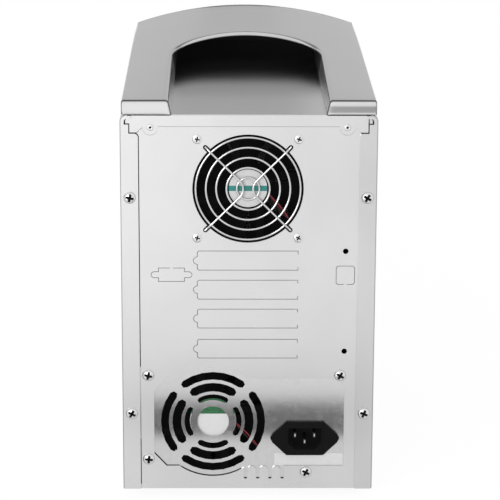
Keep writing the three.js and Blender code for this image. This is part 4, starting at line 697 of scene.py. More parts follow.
def cap_skin():
    """The cap's outside: across each station from the foot of the grip's wall up, round the lip, over the
    crown to the crest, down the nose to the rim and down the outside. The first and last rows close the
    legs' ends."""
    rows = cap_stations()
    grip, crest, rim = rows[:, None, 0:2], rows[:, None, 2:4], rows[:, None, 4:6]
    drop, wall = rows[:, None, 6], rows[:, None, 7]
    length = np.linalg.norm(rim - grip, axis=-1)
    into = (rim - grip) / length[..., None]

    def height(plan):
        return crown(plan[..., 0], plan[..., 1])

    up = np.linspace(0, 1, 5)[None, :-1]
    lip_z = height(grip) - cap_lip
    wall_plan = grip - into * ((1 - up) * wall * (cap_grip - cap_foot))[..., None]
    wall_z = lip_z + (1 - up) * wall * (cap_z - lip_z)
    a = np.linspace(0, np.pi / 2, 8)[None, :]
    lip_plan = grip + into * (cap_lip * (1 - np.cos(a)))[..., None]
    over = np.linspace(0, 1, 17)[None, 1:, None]
    top_plan = (grip + into * cap_lip) * (1 - over) + crest * over
    past = np.linspace(0, 1, 13)[None, 1:]
    nose_plan = crest * (1 - past[..., None]) + rim * past[..., None]
    blend = np.clip((drop - cap_edge) / (cap_nose - cap_edge), 0, 1)
    round_fall = 1 - np.sqrt(1 - past ** 2)
    long_fall = nose_straight * past + (1 - nose_straight) * past ** 2
    fall = drop * ((1 - blend) * round_fall + blend * long_fall)
    nose_z = crown(nose_plan[..., 0], np.minimum(nose_plan[..., 1], cap_crest)) - fall
    down = np.linspace(0, 1, 4)[None, 1:]
    rim_z = nose_z[:, -1:] * (1 - down) + cap_z * down
    plan = np.concatenate([wall_plan, lip_plan, top_plan, nose_plan, rim + 0 * down[..., None]], 1)
    round_lip = height(lip_plan) - cap_lip * (1 - np.sin(a))
    z = np.concatenate([wall_z, round_lip, height(top_plan), nose_z, rim_z], 1)
    skin = np.stack([plan[..., 0], -plan[..., 1], z], -1)
    return np.concatenate([leg_end(skin[0], -1)[::-1], skin, leg_end(skin[-1], 1)])


def leg_end(ring, side):
    """Closes a leg: the section's points p move inwards by r (1 - cos a) as y comes out by r sin a, and
    then run straight to the line between the section's two feet. The face is bowed by the square of its
    height."""
    along = np.gradient(ring[:, [0, 2]], axis=0)
    along /= np.linalg.norm(along, axis=1, keepdims=True)
    inward = side * np.stack([along[:, 1], 0 * along[:, 0], -along[:, 0]], -1)
    inward[[0, -1], 2] = 0
    a = np.linspace(0, np.pi / 2, 8)[:, None, None]
    dome = ring + inward * end_edge * (1 - np.cos(a)) + np.array([0, end_edge, 0]) * np.sin(a)
    share = np.linspace(0, 1, ring.shape[0])[:, None]
    foot = dome[-1, :1] * (1 - share) + dome[-1, -1:] * share
    t = face_rows[:, None, None]
    face = np.concatenate([dome[1:], dome[-1] * (1 - t) + foot * t])
    out = np.concatenate([np.sin(a[1:]), 0 * t + 1])[..., 0]
    middle = (face[..., 2].max() + cap_z) / 2
    face[..., 1] -= out * end_bow * ((face[..., 2] - middle) / (middle - cap_z)) ** 2
    return face


def upright(x0, y0, x1, y1, top, thickness, lean=0.0):
    """A wall under the hood from one plan point to another, its top at the height that top gives and
    moved in x by lean."""
    t = np.linspace(0, 1, 9)
    x, y = x0 + (x1 - x0) * t, y0 + (y1 - y0) * t
    normal = np.array([y0 - y1, x1 - x0]) / math.hypot(x1 - x0, y1 - y0) * thickness
    loop = [[x, y, 0 * t + cap_z], [x + lean, y, top(x + lean, -y)],
            [x + normal[0] + lean, y + normal[1], top(x + lean, -y)],
            [x + normal[0], y + normal[1], 0 * t + cap_z], [x, y, 0 * t + cap_z]]
    ring = np.array(loop).transpose(2, 0, 1)
    middle = ring[:, :4].mean(1, keepdims=True) + 0 * ring
    return np.concatenate([middle[:1], ring, middle[-1:]])


def under_roof(x, back):
    """Height of the hood's inner face, with a little of the wall sunk into it."""
    return crown(x, back) - cap_wall / 2


cap = piece("cap_handle", "tower", "cap_moulding", silver, cap_skin())
shell = cap.modifiers.new("wall", "SOLIDIFY")
shell.thickness = cap_wall / 1000
shell.offset = -1
cap.data.materials.append(bare_black)
shell.material_offset = 1
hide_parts("handle_cap")
hidden, tuck = 1.0, 0.05
# Painted shadow: a black strip under each leg's end stands in for the shade in the gap over the deck.
shadow_strip_in, shadow_strip_out = cap_foot + 1, cap_half - 1.5
shadow_strip_low, shadow_strip_high, shadow_strip_back, shadow_strip_front = 277.8, 279.0, -0.75, -1.6
shadow_strip_outline = np.array([(shadow_strip_in, shadow_strip_low), (shadow_strip_out, shadow_strip_low), (shadow_strip_out, shadow_strip_high), (shadow_strip_in, shadow_strip_high)])
hood_walls = [upright(side * (cap_foot + tuck), hidden - cap_hood, side * (cap_foot + tuck), -cap_back,
                      under_roof, side * cap_wall, side * (cap_grip - cap_foot)) for side in (-1, 1)]
wall_reach = cap_grip + cap_wall
hood_walls.append(upright(-wall_reach, -cap_back, wall_reach, -cap_back, under_roof, -cap_wall))
hood_walls += [plate(shadow_strip_outline * (side, 1), [], shadow_strip_back, shadow_strip_front) for side in (-1, 1)]
hood_inside = piece("cap_hood_walls", "tower", "cap_moulding", bare_black, *hood_walls)
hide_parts("handle_cap")

# Front bezel: a moulded shell in the same silver, clipped to the front frame, with its opening framed for
# the row of drives and a collar for the power button.
softened("front_bezel", "bezel_front", silver, 0.7, 3)

# Drives: four optical drives one above the other. A black moulded faceplate is clipped on each, with the
# tray's own front, an eject button, a small lamp and a hole for pushing the tray out by hand.


def moulding_look(name, pale, dark, gloss, specular=0.4, painted_glow=0.0):
    """Moulded plastic with a fine spark-eroded grain and a slow change of tone. A black may take a trace
    of glow as its last number: painted light that keeps it from going fully black in shade."""
    look, at = new_look(name, {"Specular IOR Level": specular, "Emission Color": (1, 1, 1, 1),
                               "Emission Strength": painted_glow})
    grain = cloud(at, 0.35, 3.0)
    tone = cloud(at, 18, 2.0) * 0.6 + grain * 0.4
    colour = between(band(tone, 0.2, 0.8), shade(dark), shade(pale))
    finish_look(look, at, colour, tone * 0.15 + gloss, grain, 0.03)
    return look


drive_black = moulding_look("drive_moulding", 40, 32, 0.34)
lamp_x, lamp_z, lamp_width, lamp_height, lamp_bulge = 43.0, 9.0, 4.2, 1.8, 0.3
pillow_depth, pillow_corner = 0.4, 0.042
hole_x, hole_radius, hole_rim = 34.0, 0.9, 0.5
lens_green = mottled_look("lamp_lens", {"Coat Weight": 0.5}, 1.2, 2.0, ((58, 96, 60), (84, 126, 84)),
                          (0.15, 0.1))
front_face = corners_of("drive_1_faceplate")[0][1]


def pillow(width, height, bulge, steps=16):
    """A low rectangular button that faces the front: the grid of a square, pressed to the rounded outline
    and raised by bulge times (1 - u^4)(1 - v^4)."""
    u, v = np.meshgrid(np.linspace(-1, 1, steps + 1), np.linspace(-1, 1, steps + 1), indexing="ij")
    rise = bulge * (1 - u ** 4) * (1 - v ** 4)
    corner = 1 - pillow_corner * (u * v) ** 8
    face = np.stack([u * corner * width / 2, -rise, v * corner * height / 2], -1)
    back = np.stack([u * corner * width / 2, 0 * u + pillow_depth, v * corner * height / 2], -1)
    return face, back[::-1], *rims(face, back)


def front_facing(points):
    """Turns what was drawn upwards so that its top faces the front: (x, y, z) to (x, -z, y)."""
    return np.stack([points[..., 0], -points[..., 2], points[..., 1]], -1)


hole_line = rounded([[0, 0.02], [hole_radius, 0.02], [hole_radius, 0.16], [hole_radius + hole_rim, 0.1],
                     [hole_radius + hole_rim, -0.2], [0, -0.2]], 0.1)
for bay in range(1, 5):
    case_low = corners_of(f"drive_{bay}_case")[0][2]
    softened(f"drive_{bay}_faceplate", f"faceplate_{bay}", drive_black, 0.4, 3)
    softened(f"drive_{bay}_tray", f"tray_{bay}", drive_black, 0.5, 3,
             body=f"drive_{bay}_tray")
    softened(f"drive_{bay}_eject_button", f"eject_button_{bay}", drive_black, 0.4, 3,
             body=f"drive_{bay}_eject")
    lens = pillow(lamp_width, lamp_height, lamp_bulge)
    lens = [part + (lamp_x, front_face, case_low + lamp_z) for part in lens]
    piece(f"drive_lamp_{bay}", "tower", "display_glass", lens_green, *lens)
    # Painted shade: the eject hole is a shallow cup painted black for the depth of the hole.
    grid = front_facing(turned(hole_line, 24)) + (hole_x, front_face, case_low + lamp_z)
    piece(f"eject_hole_{bay}", "tower", "dark_moulding", pit_shade_black, grid)

# Controller: a faceplate like a drive's, with a dark display window and four silver keys, and the silver
# power button below the drives. Each key is a moulded cap with a dished top over a switch.
softened("controller_module", "controller", drive_black, 0.4, 3)
glass = mottled_look("display_glass", {"Coat Weight": 0.6, "Coat Roughness": 0.05}, 9, 4.0,
                     ((46, 66, 84), (58, 80, 98)), (0.06, 0.12))
softened("display_window", "display_pane", glass, 0.25, 2)


def keycap(radius, length, edge, dish):
    """A round key: a rounded edge and a top dished by a share of the square of the distance from its
    middle."""
    out = np.linspace(1, 0, 9)[:, None] * (radius - edge)
    top = np.concatenate([out, length - dish * (1 - (out / (radius - edge)) ** 2)], 1)
    skirt = rounded([[0, 0], [radius, 0], [radius, length], top[0]], edge * 0.8, 5)
    return turned(np.concatenate([skirt, top[1:]]))


key_radius, key_dish, key_edge, power_radius, power_dish = 4.8, 0.35, 0.7, 8.0, 0.6
buttons = {f"controller_key_{key}": (key_radius, key_dish) for key in range(1, 5)}
buttons["power_button"] = (power_radius, power_dish)
for node, (radius, dish) in buttons.items():
    low, high = corners_of(node)
    grid = front_facing(keycap(radius, high[1] - low[1], key_edge, dish))
    middle = ((low[0] + high[0]) / 2, high[1], (low[2] + high[2]) / 2)
    key = piece("cap_of_" + node, node, "key_moulding", silver, grid + middle)
    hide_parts(node)

# Fans: two 80 mm fans in black moulded frames. The motor sits on a round plate held by four struts, and
# the rotor's seven blades turn behind it. A printed label is stuck on the plate.
# The fan's black carries a trace of painted light, a faint glow.
fan_black = moulding_look("fan_moulding", 9, 7, 0.75, 0.0, 0.003)
fan_places = {"back": (0.5, -2.2, 225.0), "supply": (25.2, -3.3, 51.2)}
hub_radius, hub_face, rotor_face, rotor_depth = 15.0, -0.8, -4.5, 17.0
blade_tip, blade_root, blade_count, blade_thick = 37.3, 13.8, 7, 1.3
blade_chord, tip_chord, root_pitch, tip_pitch = 17.0, 34.0, math.radians(50), math.radians(28)
blade_full, blade_nose, blade_camber = 1.2, 0.4, 1.6


def blade(turn_by):
    """One blade: at each radius a thin lens-shaped section, tipped by the pitch there, is wrapped round
    the axis, so that a distance s along the section becomes the angle s / r."""
    share = np.concatenate([[0], np.linspace(0, 1, 13), [1]])[:, None]
    thick = np.concatenate([[0], np.ones(13), [0]])[:, None] * blade_thick / 2
    radius = blade_root + (blade_tip - blade_root) * share
    pitch = root_pitch + (tip_pitch - root_pitch) * share
    chord = blade_chord + (tip_chord - blade_chord) * share
    a = np.linspace(0, 2 * np.pi, 25)[None, :]
    along = np.cos(a) * chord / 2 * (thick > 0)
    across = np.sin(a) * thick * (blade_full - blade_nose * np.cos(a))
    across = across + blade_camber * (1 - np.cos(a) ** 2) * (thick > 0) * share
    s = along * np.cos(pitch) - across * np.sin(pitch)
    depth = along * np.sin(pitch) + across * np.cos(pitch) + rotor_face - rotor_depth / 2
    depth = np.clip(depth, rotor_face - rotor_depth, rotor_face)
    angle = s / radius + turn_by
    return np.stack([radius * np.sin(angle), depth, radius * np.cos(angle)], -1)


hub_line = rounded([[0, rotor_face - rotor_depth], [hub_radius, rotor_face - rotor_depth],
                    [hub_radius, rotor_face], [0, rotor_face]], 1.0)
for name, place in fan_places.items():
    blades = [blade(turn_by) + place for turn_by in np.arange(blade_count) * 2 * np.pi / blade_count]
    hub = facing_back(turned(hub_line)) + place
    rotor = piece(name + "_fan_wheel", name + "_fan_rotor", "black_moulding", fan_black, hub, *blades)
    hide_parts(name + "_fan_rotor")
    softened(name + "_fan_frame", name + "_fan_housing", fan_black, 0.35, 2)

label_radius, label_rise, teal_half = 13.7, 0.12, 1.95
paper, paper_at = new_look("label_back_fan", {"Specular IOR Level": 0.4})
fade = cloud(paper_at, 3, 3.0)
off_middle = abs(coordinate(paper_at, "Z") - fan_places["back"][2])
bare = between(fade, shade(208), shade(222))
teal = between(fade, shade((40, 128, 122)), shade((52, 142, 136)))
striped = between(band(off_middle, teal_half - 0.1, teal_half + 0.1), teal, bare)
finish_look(paper, paper_at, striped, fade * 0.1 + 0.3)
disc = rounded([[0, 0], [label_radius, 0], [label_radius, label_rise], [0, label_rise]], 0.05)
place = np.array(fan_places["back"]) + (0, hub_face, 0)
piece("back_fan_label", "tower", "black_moulding", paper, facing_back(turned(disc, 64)) + place)

# Guard of the back fan: five rings of bright wire, welded under two bent wires whose ends dip through the
# panel's notches on to the fan's frame.
wire_radius, guard_y = 0.78, -0.35
ring_radii, ring_drop = (37.0, 29.75, 22.5, 15.25, 8.0), 1.11
spoke_reach, spoke_bend, dip_start, dip_end, end_y = 43.0, 8.5, 37.4, 40.6, -1.32

chrome = mottled_look("wire_chrome", {"Metallic": 1.0}, 2.5, 3.0, (196, 222), (0.1, 0.12))


def tube(path, radius, sides=12):
    """A round section carried along a path: across is the path's direction crossed with the y axis, out
    is across crossed with the direction, and the point at angle a is path + radius (across cos a + out
    sin a)."""
    path = np.array(path, float)
    closed = np.allclose(path[0], path[-1])
    along = np.gradient(path, axis=0)
    if closed:
        along[0] = along[-1] = path[1] - path[-2]
    along /= np.linalg.norm(along, axis=1, keepdims=True)
    across = np.cross(along, (0, 1, 0))
    across /= np.linalg.norm(across, axis=1, keepdims=True)
    out = np.cross(across, along)
    a = np.linspace(0, 2 * np.pi, sides + 1)[None, :, None]
    skin = path[:, None] + radius * (across[:, None] * np.cos(a) + out[:, None] * np.sin(a))
    if closed:
        return skin
    ends = [path[k] + 0 * skin[0] for k in (0, -1)]
    return np.concatenate([ends[0][None], skin, ends[1][None]])


def ring_path(radius, steps=97):
    """A closed circle about the guard's middle, in the plane of the rings."""
    a = np.linspace(0, 2 * np.pi, steps)
    return np.stack([radius * np.cos(a), 0 * a + guard_y - ring_drop, radius * np.sin(a)], -1)


def spoke_path(side):
    """A bent wire: a straight arm at 45 degrees, a quarter turn about a point beside the middle, and an
    arm back; beyond dip_start its depth eases from the guard's face to the fan's frame as 3 t^2 - 2
    t^3."""
    out = np.linspace(spoke_reach, spoke_bend, 40)
    a = np.linspace(0.75 * np.pi, np.pi, 13)[1:]
    line = np.stack([out, out], -1) / math.sqrt(2)
    bend = np.stack([spoke_bend * math.sqrt(2) + spoke_bend * np.cos(a), spoke_bend * np.sin(a)], -1)
    half = np.concatenate([line, bend])
    half = np.concatenate([half, half[-2::-1] * (1, -1)])
    t = np.clip((np.hypot(*half.T) - dip_start) / (dip_end - dip_start), 0, 1)
    depth = guard_y + (end_y - guard_y) * (3 * t ** 2 - 2 * t ** 3)
    return np.stack([side * half[:, 0], depth, half[:, 1]], -1)


middle = np.array([fan_places["back"][0], 0, fan_places["back"][2]])
paths = [ring_path(radius) for radius in ring_radii] + [spoke_path(side) for side in (-1, 1)]
wires = [tube(path, wire_radius) + middle for path in paths]
guard = piece("guard_of_back_fan", "tower", "wire_chrome", chrome, *wires, crease=60)
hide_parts("back_fan_guard")

# Power supply: a box of bare galvanised sheet with a grille stamped in its back. Its fan's white label and
# green circuit board show through the grille, and a bare white strip is stuck under the inlet.
comb_foot, cut_slope = 8.3, (0.734, 0.68)


def window_shadow(at):
    """Where the window's lower edge shades the supply's face: below the comb's feet, round the scallop,
    along the straight edge and along the cut corner, each within a fraction of a millimetre of the
    panel's edge."""
    x, z = coordinate(at, "X"), coordinate(at, "Z")
    aside, above = x - supply_x, z - supply_z
    reach = aside.maths("SQRT", aside * aside + above * above)
    round_fan = band(reach, scallop - 0.8, scallop - 0.6) * (1 - band(z, 16.0, 18.0)) * band(x, 4.0, 5.0)
    past_corner = (x - cut_x) * cut_slope[0] - (z - window_low) * cut_slope[1]
    corner = band(past_corner, -0.8, -0.6) * band(x, cut_x - 0.9, cut_x - 0.4)
    straight = (1 - band(z, window_low + 0.4, window_low + 0.6)) * band(x, 49.5, 49.8)
    return (1 - band(z, comb_foot - 0.2, comb_foot + 0.2)) + corner + straight + round_fan


supply_zinc = zinc_look("supply_steel", 216, 208, 0.07, window_shadow)
softened("supply_casing", "supply_box", supply_zinc, 0.2, 1)
white_paper = mottled_look("label_strip", {"Specular IOR Level": 0.35}, 5, 3.0, (218, 226), (0.4, 0.1),
                           0.01)


def flat_plate(outline, y_low, y_high):
    """A thin plate of any convex outline of (x, z) points: its two faces close on the outline's middle."""
    outline = np.array([*outline, outline[0]], float)
    middle = outline[:-1].mean(0) + 0 * outline
    layers = [(middle, y_low), (outline, y_low), (outline, y_high), (middle, y_high)]
    return np.array([np.stack([p[:, 0], 0 * p[:, 0] + y, p[:, 1]], -1) for p, y in layers])


strip_x0, strip_x1, strip_z0, strip_z1, supply_face = -69.2, -19.4, 17.6, 26.9, -2.2
strip_outline = [(strip_x0, strip_z0), (strip_x1, strip_z0), (strip_x1, strip_z1), (strip_x0, strip_z1)]
strip = flat_plate(strip_outline, supply_face, supply_face + label_rise)
piece("supply_strip", "tower", "case_steel", white_paper, strip)

hub_label, hub_board, label_cut, label_thick, board_thick = 16.7, 17.1, 5.4, 0.3, 0.25
board_green, board_at = new_look("board_green", {"Specular IOR Level": 0.5})
track = fleck(board_at, 1.4, "Distance")
green = between(band(track, 0.25, 0.5), shade((26, 84, 50)), shade((40, 112, 66)))
finish_look(board_green, board_at, green, cloud(board_at, 2) * 0.1 + 0.35, track, 0.03)
plate_y = fan_places["supply"][1] + hub_face
fan_middle = np.array([fan_places["supply"][0], fan_places["supply"][2]])
label_side, board_side = [math.degrees(math.asin(label_cut / radius)) for radius in (hub_label, hub_board)]
label_outline = arc(*fan_middle, hub_label, 180 - label_side, 360 + label_side, 59)
board_outline = arc(*fan_middle, hub_board, board_side, 180 - board_side, 59)
piece("supply_fan_label", "tower", "black_moulding", white_paper,
      flat_plate(label_outline, plate_y, plate_y + label_thick))
piece("supply_fan_board", "tower", "black_moulding", board_green,
      flat_plate(board_outline, plate_y, plate_y + board_thick))

# Fan leads: a pair of thin insulated wires, one red and one black, is soldered to each motor's board and
# runs from its plate along a strut to the frame.
lead_radius, lead_aside, lead_sag = 0.55, 0.45, 0.96
lead_red = mottled_look("lead_insulation", {"Specular IOR Level": 0.5}, 2, 2.0,
                        ((128, 26, 34), (156, 36, 44)), (0.3, 0.1))
lead_black = moulding_look("lead_black", 34, 24, 0.3)


def lead_path(start, end, sag, steps=25):
    """A wire between two plan points that bows aside by sag times the sine of its share of the way."""
    t = np.linspace(0, 1, steps)[:, None]
    start, end = np.array(start, float), np.array(end, float)
    across = np.array([end[2] - start[2], 0, start[0] - end[0]]) / np.linalg.norm(end - start)
    return start * (1 - t) + end * t + across * sag * np.sin(np.pi * t)


lead_ends = {"back": ((-14.5, -2.3, -4.5), (-30.5, -2.6, -24.5)),
             "supply": ((-14.5, -2.0, -0.5), (-33.0, -2.3, -20.6))}
for name, (start, end) in lead_ends.items():
    for colour, look, side in (("red", lead_red, 1), ("black", lead_black, -1)):
        shift = np.array(fan_places[name]) + (side * lead_aside, 0, side * lead_aside)
        grid = tube(lead_path(start, end, side * lead_sag) + shift, lead_radius)
        piece(f"{name}_fan_lead_{colour}", "tower", "black_moulding", look, grid)

# Mains inlet: a black moulded socket with two pointed ears, snapped into the power supply. Its three pins
# of plated brass are given a dark grey as painted shade for the socket's recess, and each tip glows with
# a painted glint.
# The inlet's black carries a trace of painted light, a faint glow.
inlet_black = moulding_look("inlet_moulding", 9, 7, 0.6, 0.06, 0.004)
wear(inlet_black, "mains_inlet")
tip_half, tip_tall, tip_clear, tip_blur = 0.4, 0.9, 0.6, 1.5
for pin in ("line", "neutral", "earth"):
    plated, at = new_look("plated_pin_" + pin, {"Metallic": 0.9, "Emission Strength": 0.6})
    low, high = corners_of("inlet_pin_" + pin)
    # Painted glint: a spot on each pin's tip glows, over a dark grey that is painted shade.
    glint_spot = [1 - band(abs(coordinate(at, axis) - (low[k] + high[k]) / 2), size * tip_clear, size * tip_blur)
            for axis, k, size in (("X", 0, tip_half), ("Z", 2, tip_tall))]
    glint = between(glint_spot[0] * glint_spot[1], shade(0), shade(235))
    brass = cloud(at, 1.5)
    finish_look(plated, at, between(brass, shade(50), shade(64)), brass * 0.1 + 0.45,
                more={"Emission Color": glint})
    softened("inlet_pin_" + pin, "pin_" + pin, plated, 0.3, 2)

# Screws: zinc-plated steel with a cross recess. Pan heads hold the covers and the power supply, and low
# heads hold the back fan. The recess is darkened as painted shade, and the rim's lower left as painted
# shadow.
screw_metal, screw_at = new_look("screw_steel", {"Metallic": 0.95})
# The sunk attribute gives each point's share of painted shade: the recess and the rim's lower left.
sunk = screw_at.node("Attribute", {"attribute_name": "sunk"}, {}, "Fac")
polish = cloud(screw_at, 0.9, 3.0)
screw_colour = between(sunk, between(polish, shade(206), shade(232)), shade(18))
finish_look(screw_metal, screw_at, screw_colour, polish * 0.15 + 0.18 + sunk * 0.3, polish, 0.01)
pan_head = {"radius": 4.3, "height": 2.5, "arm": 5.4, "width": 1.5, "depth": 1.6}
low_head = {"radius": 3.3, "height": 0.6, "arm": 3.6, "width": 0.85, "depth": 0.5}
rim_shade_from, rim_shade_dark, rim_shade_way, rim_shade_reach = 0.9, 0.8, (0.8, -0.6), 0.3


def dome_over(r, radius, height):
    """How high a head's dome stands at each distance r from its middle: height times the square root of
    1 less the cube of r's share of the radius."""
    return height * np.sqrt(np.clip(1 - (r / radius) ** 3, 0, 1))


def screw_head(radius, height, arm, width, depth, turn_by):
    """A domed head on a polar grid, less a cross: its depth times the greater of two bars, each 1 within
    half the width of its line and within the arm, and 0 outside."""
    r = np.concatenate([np.linspace(0, 0.94, 30), 1 - 0.06 * (1 - np.linspace(0, 1, 7)[1:]) ** 2]) * radius
    a = np.linspace(0, 2 * np.pi, 97)
    r, a = np.meshgrid(r, a, indexing="ij")
    x, z = r * np.cos(a), r * np.sin(a)
    u, v = x * math.cos(turn_by) + z * math.sin(turn_by), z * math.cos(turn_by) - x * math.sin(turn_by)
    blur = width * 0.22
    narrow, long = [[np.clip((size / 2 - abs(way)) / blur + 0.5, 0, 1) for way in (u, v)]
                    for size in (width, arm)]
    cross = np.maximum(narrow[0] * long[1], narrow[1] * long[0])
    face = np.stack([x, dome_over(r, radius, height) - cross * depth, z], -1)
    foot = face[-1:] * (1, 0, 1)
    return np.concatenate([face, foot, foot * 0])


def place_screw(node, radius, height, arm, width, depth, turn_by):
    """Puts a head where the CAD screw's head is, and keeps how dark each point is painted as an attribute:
    1 in the recess, as painted shade, and up to 0.8 at the lower left of the rim, as a painted shadow."""
    low, high = corners_of(node)
    grid = screw_head(radius, height, arm, width, depth, turn_by)
    seat = np.array([(low[0] + high[0]) / 2, high[1] - height, (low[2] + high[2]) / 2])
    made = piece("head_of_" + node, "tower", "screw_steel", screw_metal, grid + seat, crease=50)
    corners = (values_of(made.data.vertices, "co", 3) - case_origin) * 1000 - seat
    r = np.hypot(corners[:, 0], corners[:, 2])
    away = np.clip((corners[:, 0] * rim_shade_way[0] + corners[:, 2] * rim_shade_way[1]) / radius + rim_shade_reach, 0, 1)
    sunk_by = dome_over(r, radius, height) - corners[:, 1]
    shade_share = np.where(r < arm, np.clip(sunk_by / depth, 0, 1), 0)
    shade_share += (r > radius * rim_shade_from) * away * rim_shade_dark
    made.data.attributes.new("sunk", "FLOAT", "POINT").data.foreach_set("value", shade_share.astype(np.float32))
    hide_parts(node)


turns = np.random.default_rng(7).uniform(0.1, 0.6, 12)
pan_heads = [f"cover_screw_{side}_{row}" for side in ("left", "right") for row in (1, 2)]
pan_heads += [f"supply_screw_{number}" for number in range(1, 5)]
for node, turn_by in zip(pan_heads, turns):
    place_screw(node, **pan_head, turn_by=turn_by)
for number, turn_by in zip(range(1, 5), turns[len(pan_heads):]):
    place_screw(f"fan_screw_{number}", **low_head, turn_by=turn_by)

# Studio: a white floor that keeps the tower's shadow, soft lamps, and a surround that is white for the
# camera, for reflections and through glass, and dimmer as a light. Three cards, which reflections alone
# see, give the sheet and the lacquer their slow changes from light to dark.
surround_light, key_power, fill_power = 0.62, 20.0, 2.0
floor_half, floor_glow, floor_share = 4.0, 1.1, 0.8

world = bpy.data.worlds.new("surround")
bpy.context.scene.world = world
world.use_nodes = True


def seen(wire):
    """1 for a ray from the camera, off a gloss or through glass, 0 for the rays that carry light."""
    direct, mirrored, through = [wire.node("LightPath", {}, {}, f"Is {kind} Ray")
                                 for kind in ("Camera", "Glossy", "Transmission")]
    return wire.maths("MAXIMUM", direct, wire.maths("MAXIMUM", mirrored, through))


surround = world.node_tree.nodes["Background"]
surround.inputs["Color"].default_value = (1, 1, 1, 1)
sky = Wire(world.node_tree, surround.outputs[0])
sky_light = seen(sky) * (1 - surround_light) + surround_light
world.node_tree.links.new(sky_light.socket, surround.inputs["Strength"])


def stage_sheet(name, corners, look):
    """A flat sheet of the stage through four corners."""
    mesh = bpy.data.meshes.new(name)
    mesh.from_pydata(corners, [], [(0, 1, 2, 3)])
    mesh.materials.append(look)
    made = bpy.data.objects.new(name, mesh)
    bpy.context.scene.collection.objects.link(made)
    return made


def set_surface(look, wire):
    """Makes a shader's wire the whole surface of a look."""
    look.node_tree.links.new(wire.socket, look.node_tree.nodes["Material Output"].inputs["Surface"])


floor_look, floor_at = new_look("floor_white", {"Specular IOR Level": 0.0})
paper_tone = cloud(floor_at, 400, 1.0)
finish_look(floor_look, floor_at, between(paper_tone, shade(246), shade(250)), paper_tone * 0.1 + 0.9)
glow = floor_at.node("Emission", {}, {"Color": (1, 1, 1, 1), "Strength": floor_glow}, "Emission")
shader = Wire(floor_look.node_tree, floor_look.node_tree.nodes["Principled BSDF"].outputs[0])
both = shader.node("MixShader", {}, {0: seen(floor_at) * floor_share, 1: shader, 2: glow})
set_surface(floor_look, both)
floor_corners = [(x * floor_half, y * floor_half, 0) for x, y in ((-1, -1), (1, -1), (1, 1), (-1, 1))]
stage_sheet("floor", floor_corners, floor_look)


def card(name, corners, strength):
    """A sheet of the stage that only reflections see. It glows in a grey that strength works out from the
    object's coordinates."""
    look, at = new_look(name, {})
    light = at.node("Emission", {}, {"Color": strength(at)}, "Emission")
    set_surface(look, light)
    made = stage_sheet(name, corners, look)
    made.visible_camera = made.visible_diffuse = made.visible_transmission = made.visible_shadow = False


rear_y = float(case_origin[1])
dark_band_near, dark_band_far, dark_band_half, dark_band_depth, shadow_reach = 0.118, 0.192, 0.09, 0.76, 0.5
floor_card_half, right_near, right_far, right_card_reach = 0.45, 1.05, 1.6, 1.2
floor_near, floor_rise, front_glow, front_lower, front_upper, right_fade = 0.78, 0.27, 0.63, 0.6, 0.5, 0.6
deck_half, deck_blur, deck_low, deck_high, top_low, top_high = 0.1, 0.06, 0.7, 0.8, 1.4, 1.55
front_card = [(-3, -2.4, 0.3), (3, -2.4, 0.3), (3, -1.6, 3.2), (-3, -1.6, 3.2)]


def across_and_back(at):
    """How far a point is from the middle plane, and how far behind the tower, in metres."""
    return abs(metres(at, "X")), metres(at, "Y") - rear_y


def floor_strength(at):
    """The floor behind the tower as reflections see it: a painted shadow of a quarter at the tower, less
    with the distance as far as the shadow's reach, and a much darker painted band near it."""
    across, back = across_and_back(at)
    on_dark_band = band(back, dark_band_near - 0.012, dark_band_near + 0.012)
    dark_band = on_dark_band - band(back, dark_band_far - 0.015, dark_band_far + 0.03)
    narrow = 1 - band(across, dark_band_half - 0.015, dark_band_half + 0.015)
    return band(back, -0.1, shadow_reach) * floor_rise + floor_near - dark_band * narrow * dark_band_depth


def front_strength(at):
    """The card in front: dark at the top, and in the middle also below the height that the deck
    reflects."""
    height = metres(at, "Z")
    aside = band(across_and_back(at)[0], deck_half, deck_half + deck_blur)
    low = (1 - band(height, deck_low, deck_high)) * (1 - aside)
    return front_glow - low * front_lower - band(height, top_low, top_high) * front_upper


def right_strength(at):
    """The card on the right: it fades away from the middle plane."""
    return 1 - band(across_and_back(at)[0], 0, 0.3) * right_fade


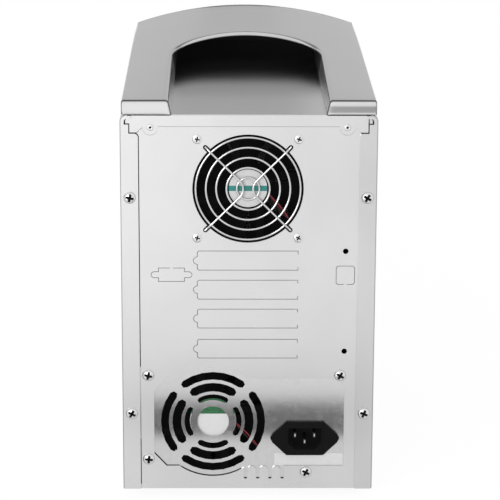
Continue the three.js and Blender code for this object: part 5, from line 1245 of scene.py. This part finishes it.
card("card_on_floor", [(x * floor_card_half, rear_y + y * shadow_reach, 0.002)
                       for x, y in ((-1, 0), (1, 0), (1, 1), (-1, 1))], floor_strength)
card("card_in_front", front_card, front_strength)
card("card_on_right", [(x * -right_card_reach, rear_y + y, 0.003) for x, y in
                       ((0, right_near), (0, right_far), (1, right_far), (1, right_near))], right_strength)


def lamp(name, place, target, size, power):
    """A soft square lamp that faces its target."""
    light = bpy.data.lights.new(name, "AREA")
    light.size, light.energy = size, power
    made = bpy.data.objects.new(name, light)
    made.location = place
    aim = np.array(target) - np.array(place)
    made.rotation_euler = Vector(aim).to_track_quat("-Z", "Y").to_euler()
    bpy.context.scene.collection.objects.link(made)
    return made


key_lamp = lamp("key", (1.05, 2.2, 0.5), (0, 0.17, 0.16), 1.0, key_power)
lamp("fill", (-1.3, -1.7, 2.4), (0, -0.1, 0.16), 1.4, fill_power)
# The key lamp would bleach the cap's top for a camera in front, so the cap is shielded from it.
shielded = bpy.data.collections.new("shielded_from_key")
shielded.objects.link(cap)
shielded.collection_objects[0].light_linking.link_state = "EXCLUDE"
key_lamp.light_linking.receiver_collection = shielded

# Camera: it stands behind the tower and a little above it, where the photograph's did, with a long lens
# that looks slightly down. All of the picture is sharp.
camera_place, camera_lens = (0.01945, 1.754875, 0.63076), 167.45
yaw, pitch, roll = math.radians(0.74), math.radians(15.64), math.radians(0.23)
forward = np.array([math.sin(yaw) * math.cos(pitch), math.cos(yaw) * math.cos(pitch), -math.sin(pitch)])
level = np.array([math.cos(yaw), -math.sin(yaw), 0])
above = np.cross(level, forward)
right = math.cos(roll) * level + math.sin(roll) * above
up = -math.sin(roll) * level + math.cos(roll) * above
turn_round = np.array([-1, -1, 1])
view = bpy.data.cameras.new("camera")
view.lens, view.sensor_width, view.clip_end = camera_lens, 36, 20
camera = bpy.data.objects.new("camera", view)
pose = np.eye(4)
pose[:3, 0], pose[:3, 1], pose[:3, 2] = right * turn_round, up * turn_round, -forward * turn_round
pose[:3, 3] = camera_place
camera.matrix_world = Matrix(pose.tolist())
bpy.context.scene.collection.objects.link(camera)
bpy.context.scene.camera = camera
bpy.context.scene.view_settings.view_transform = "Standard"
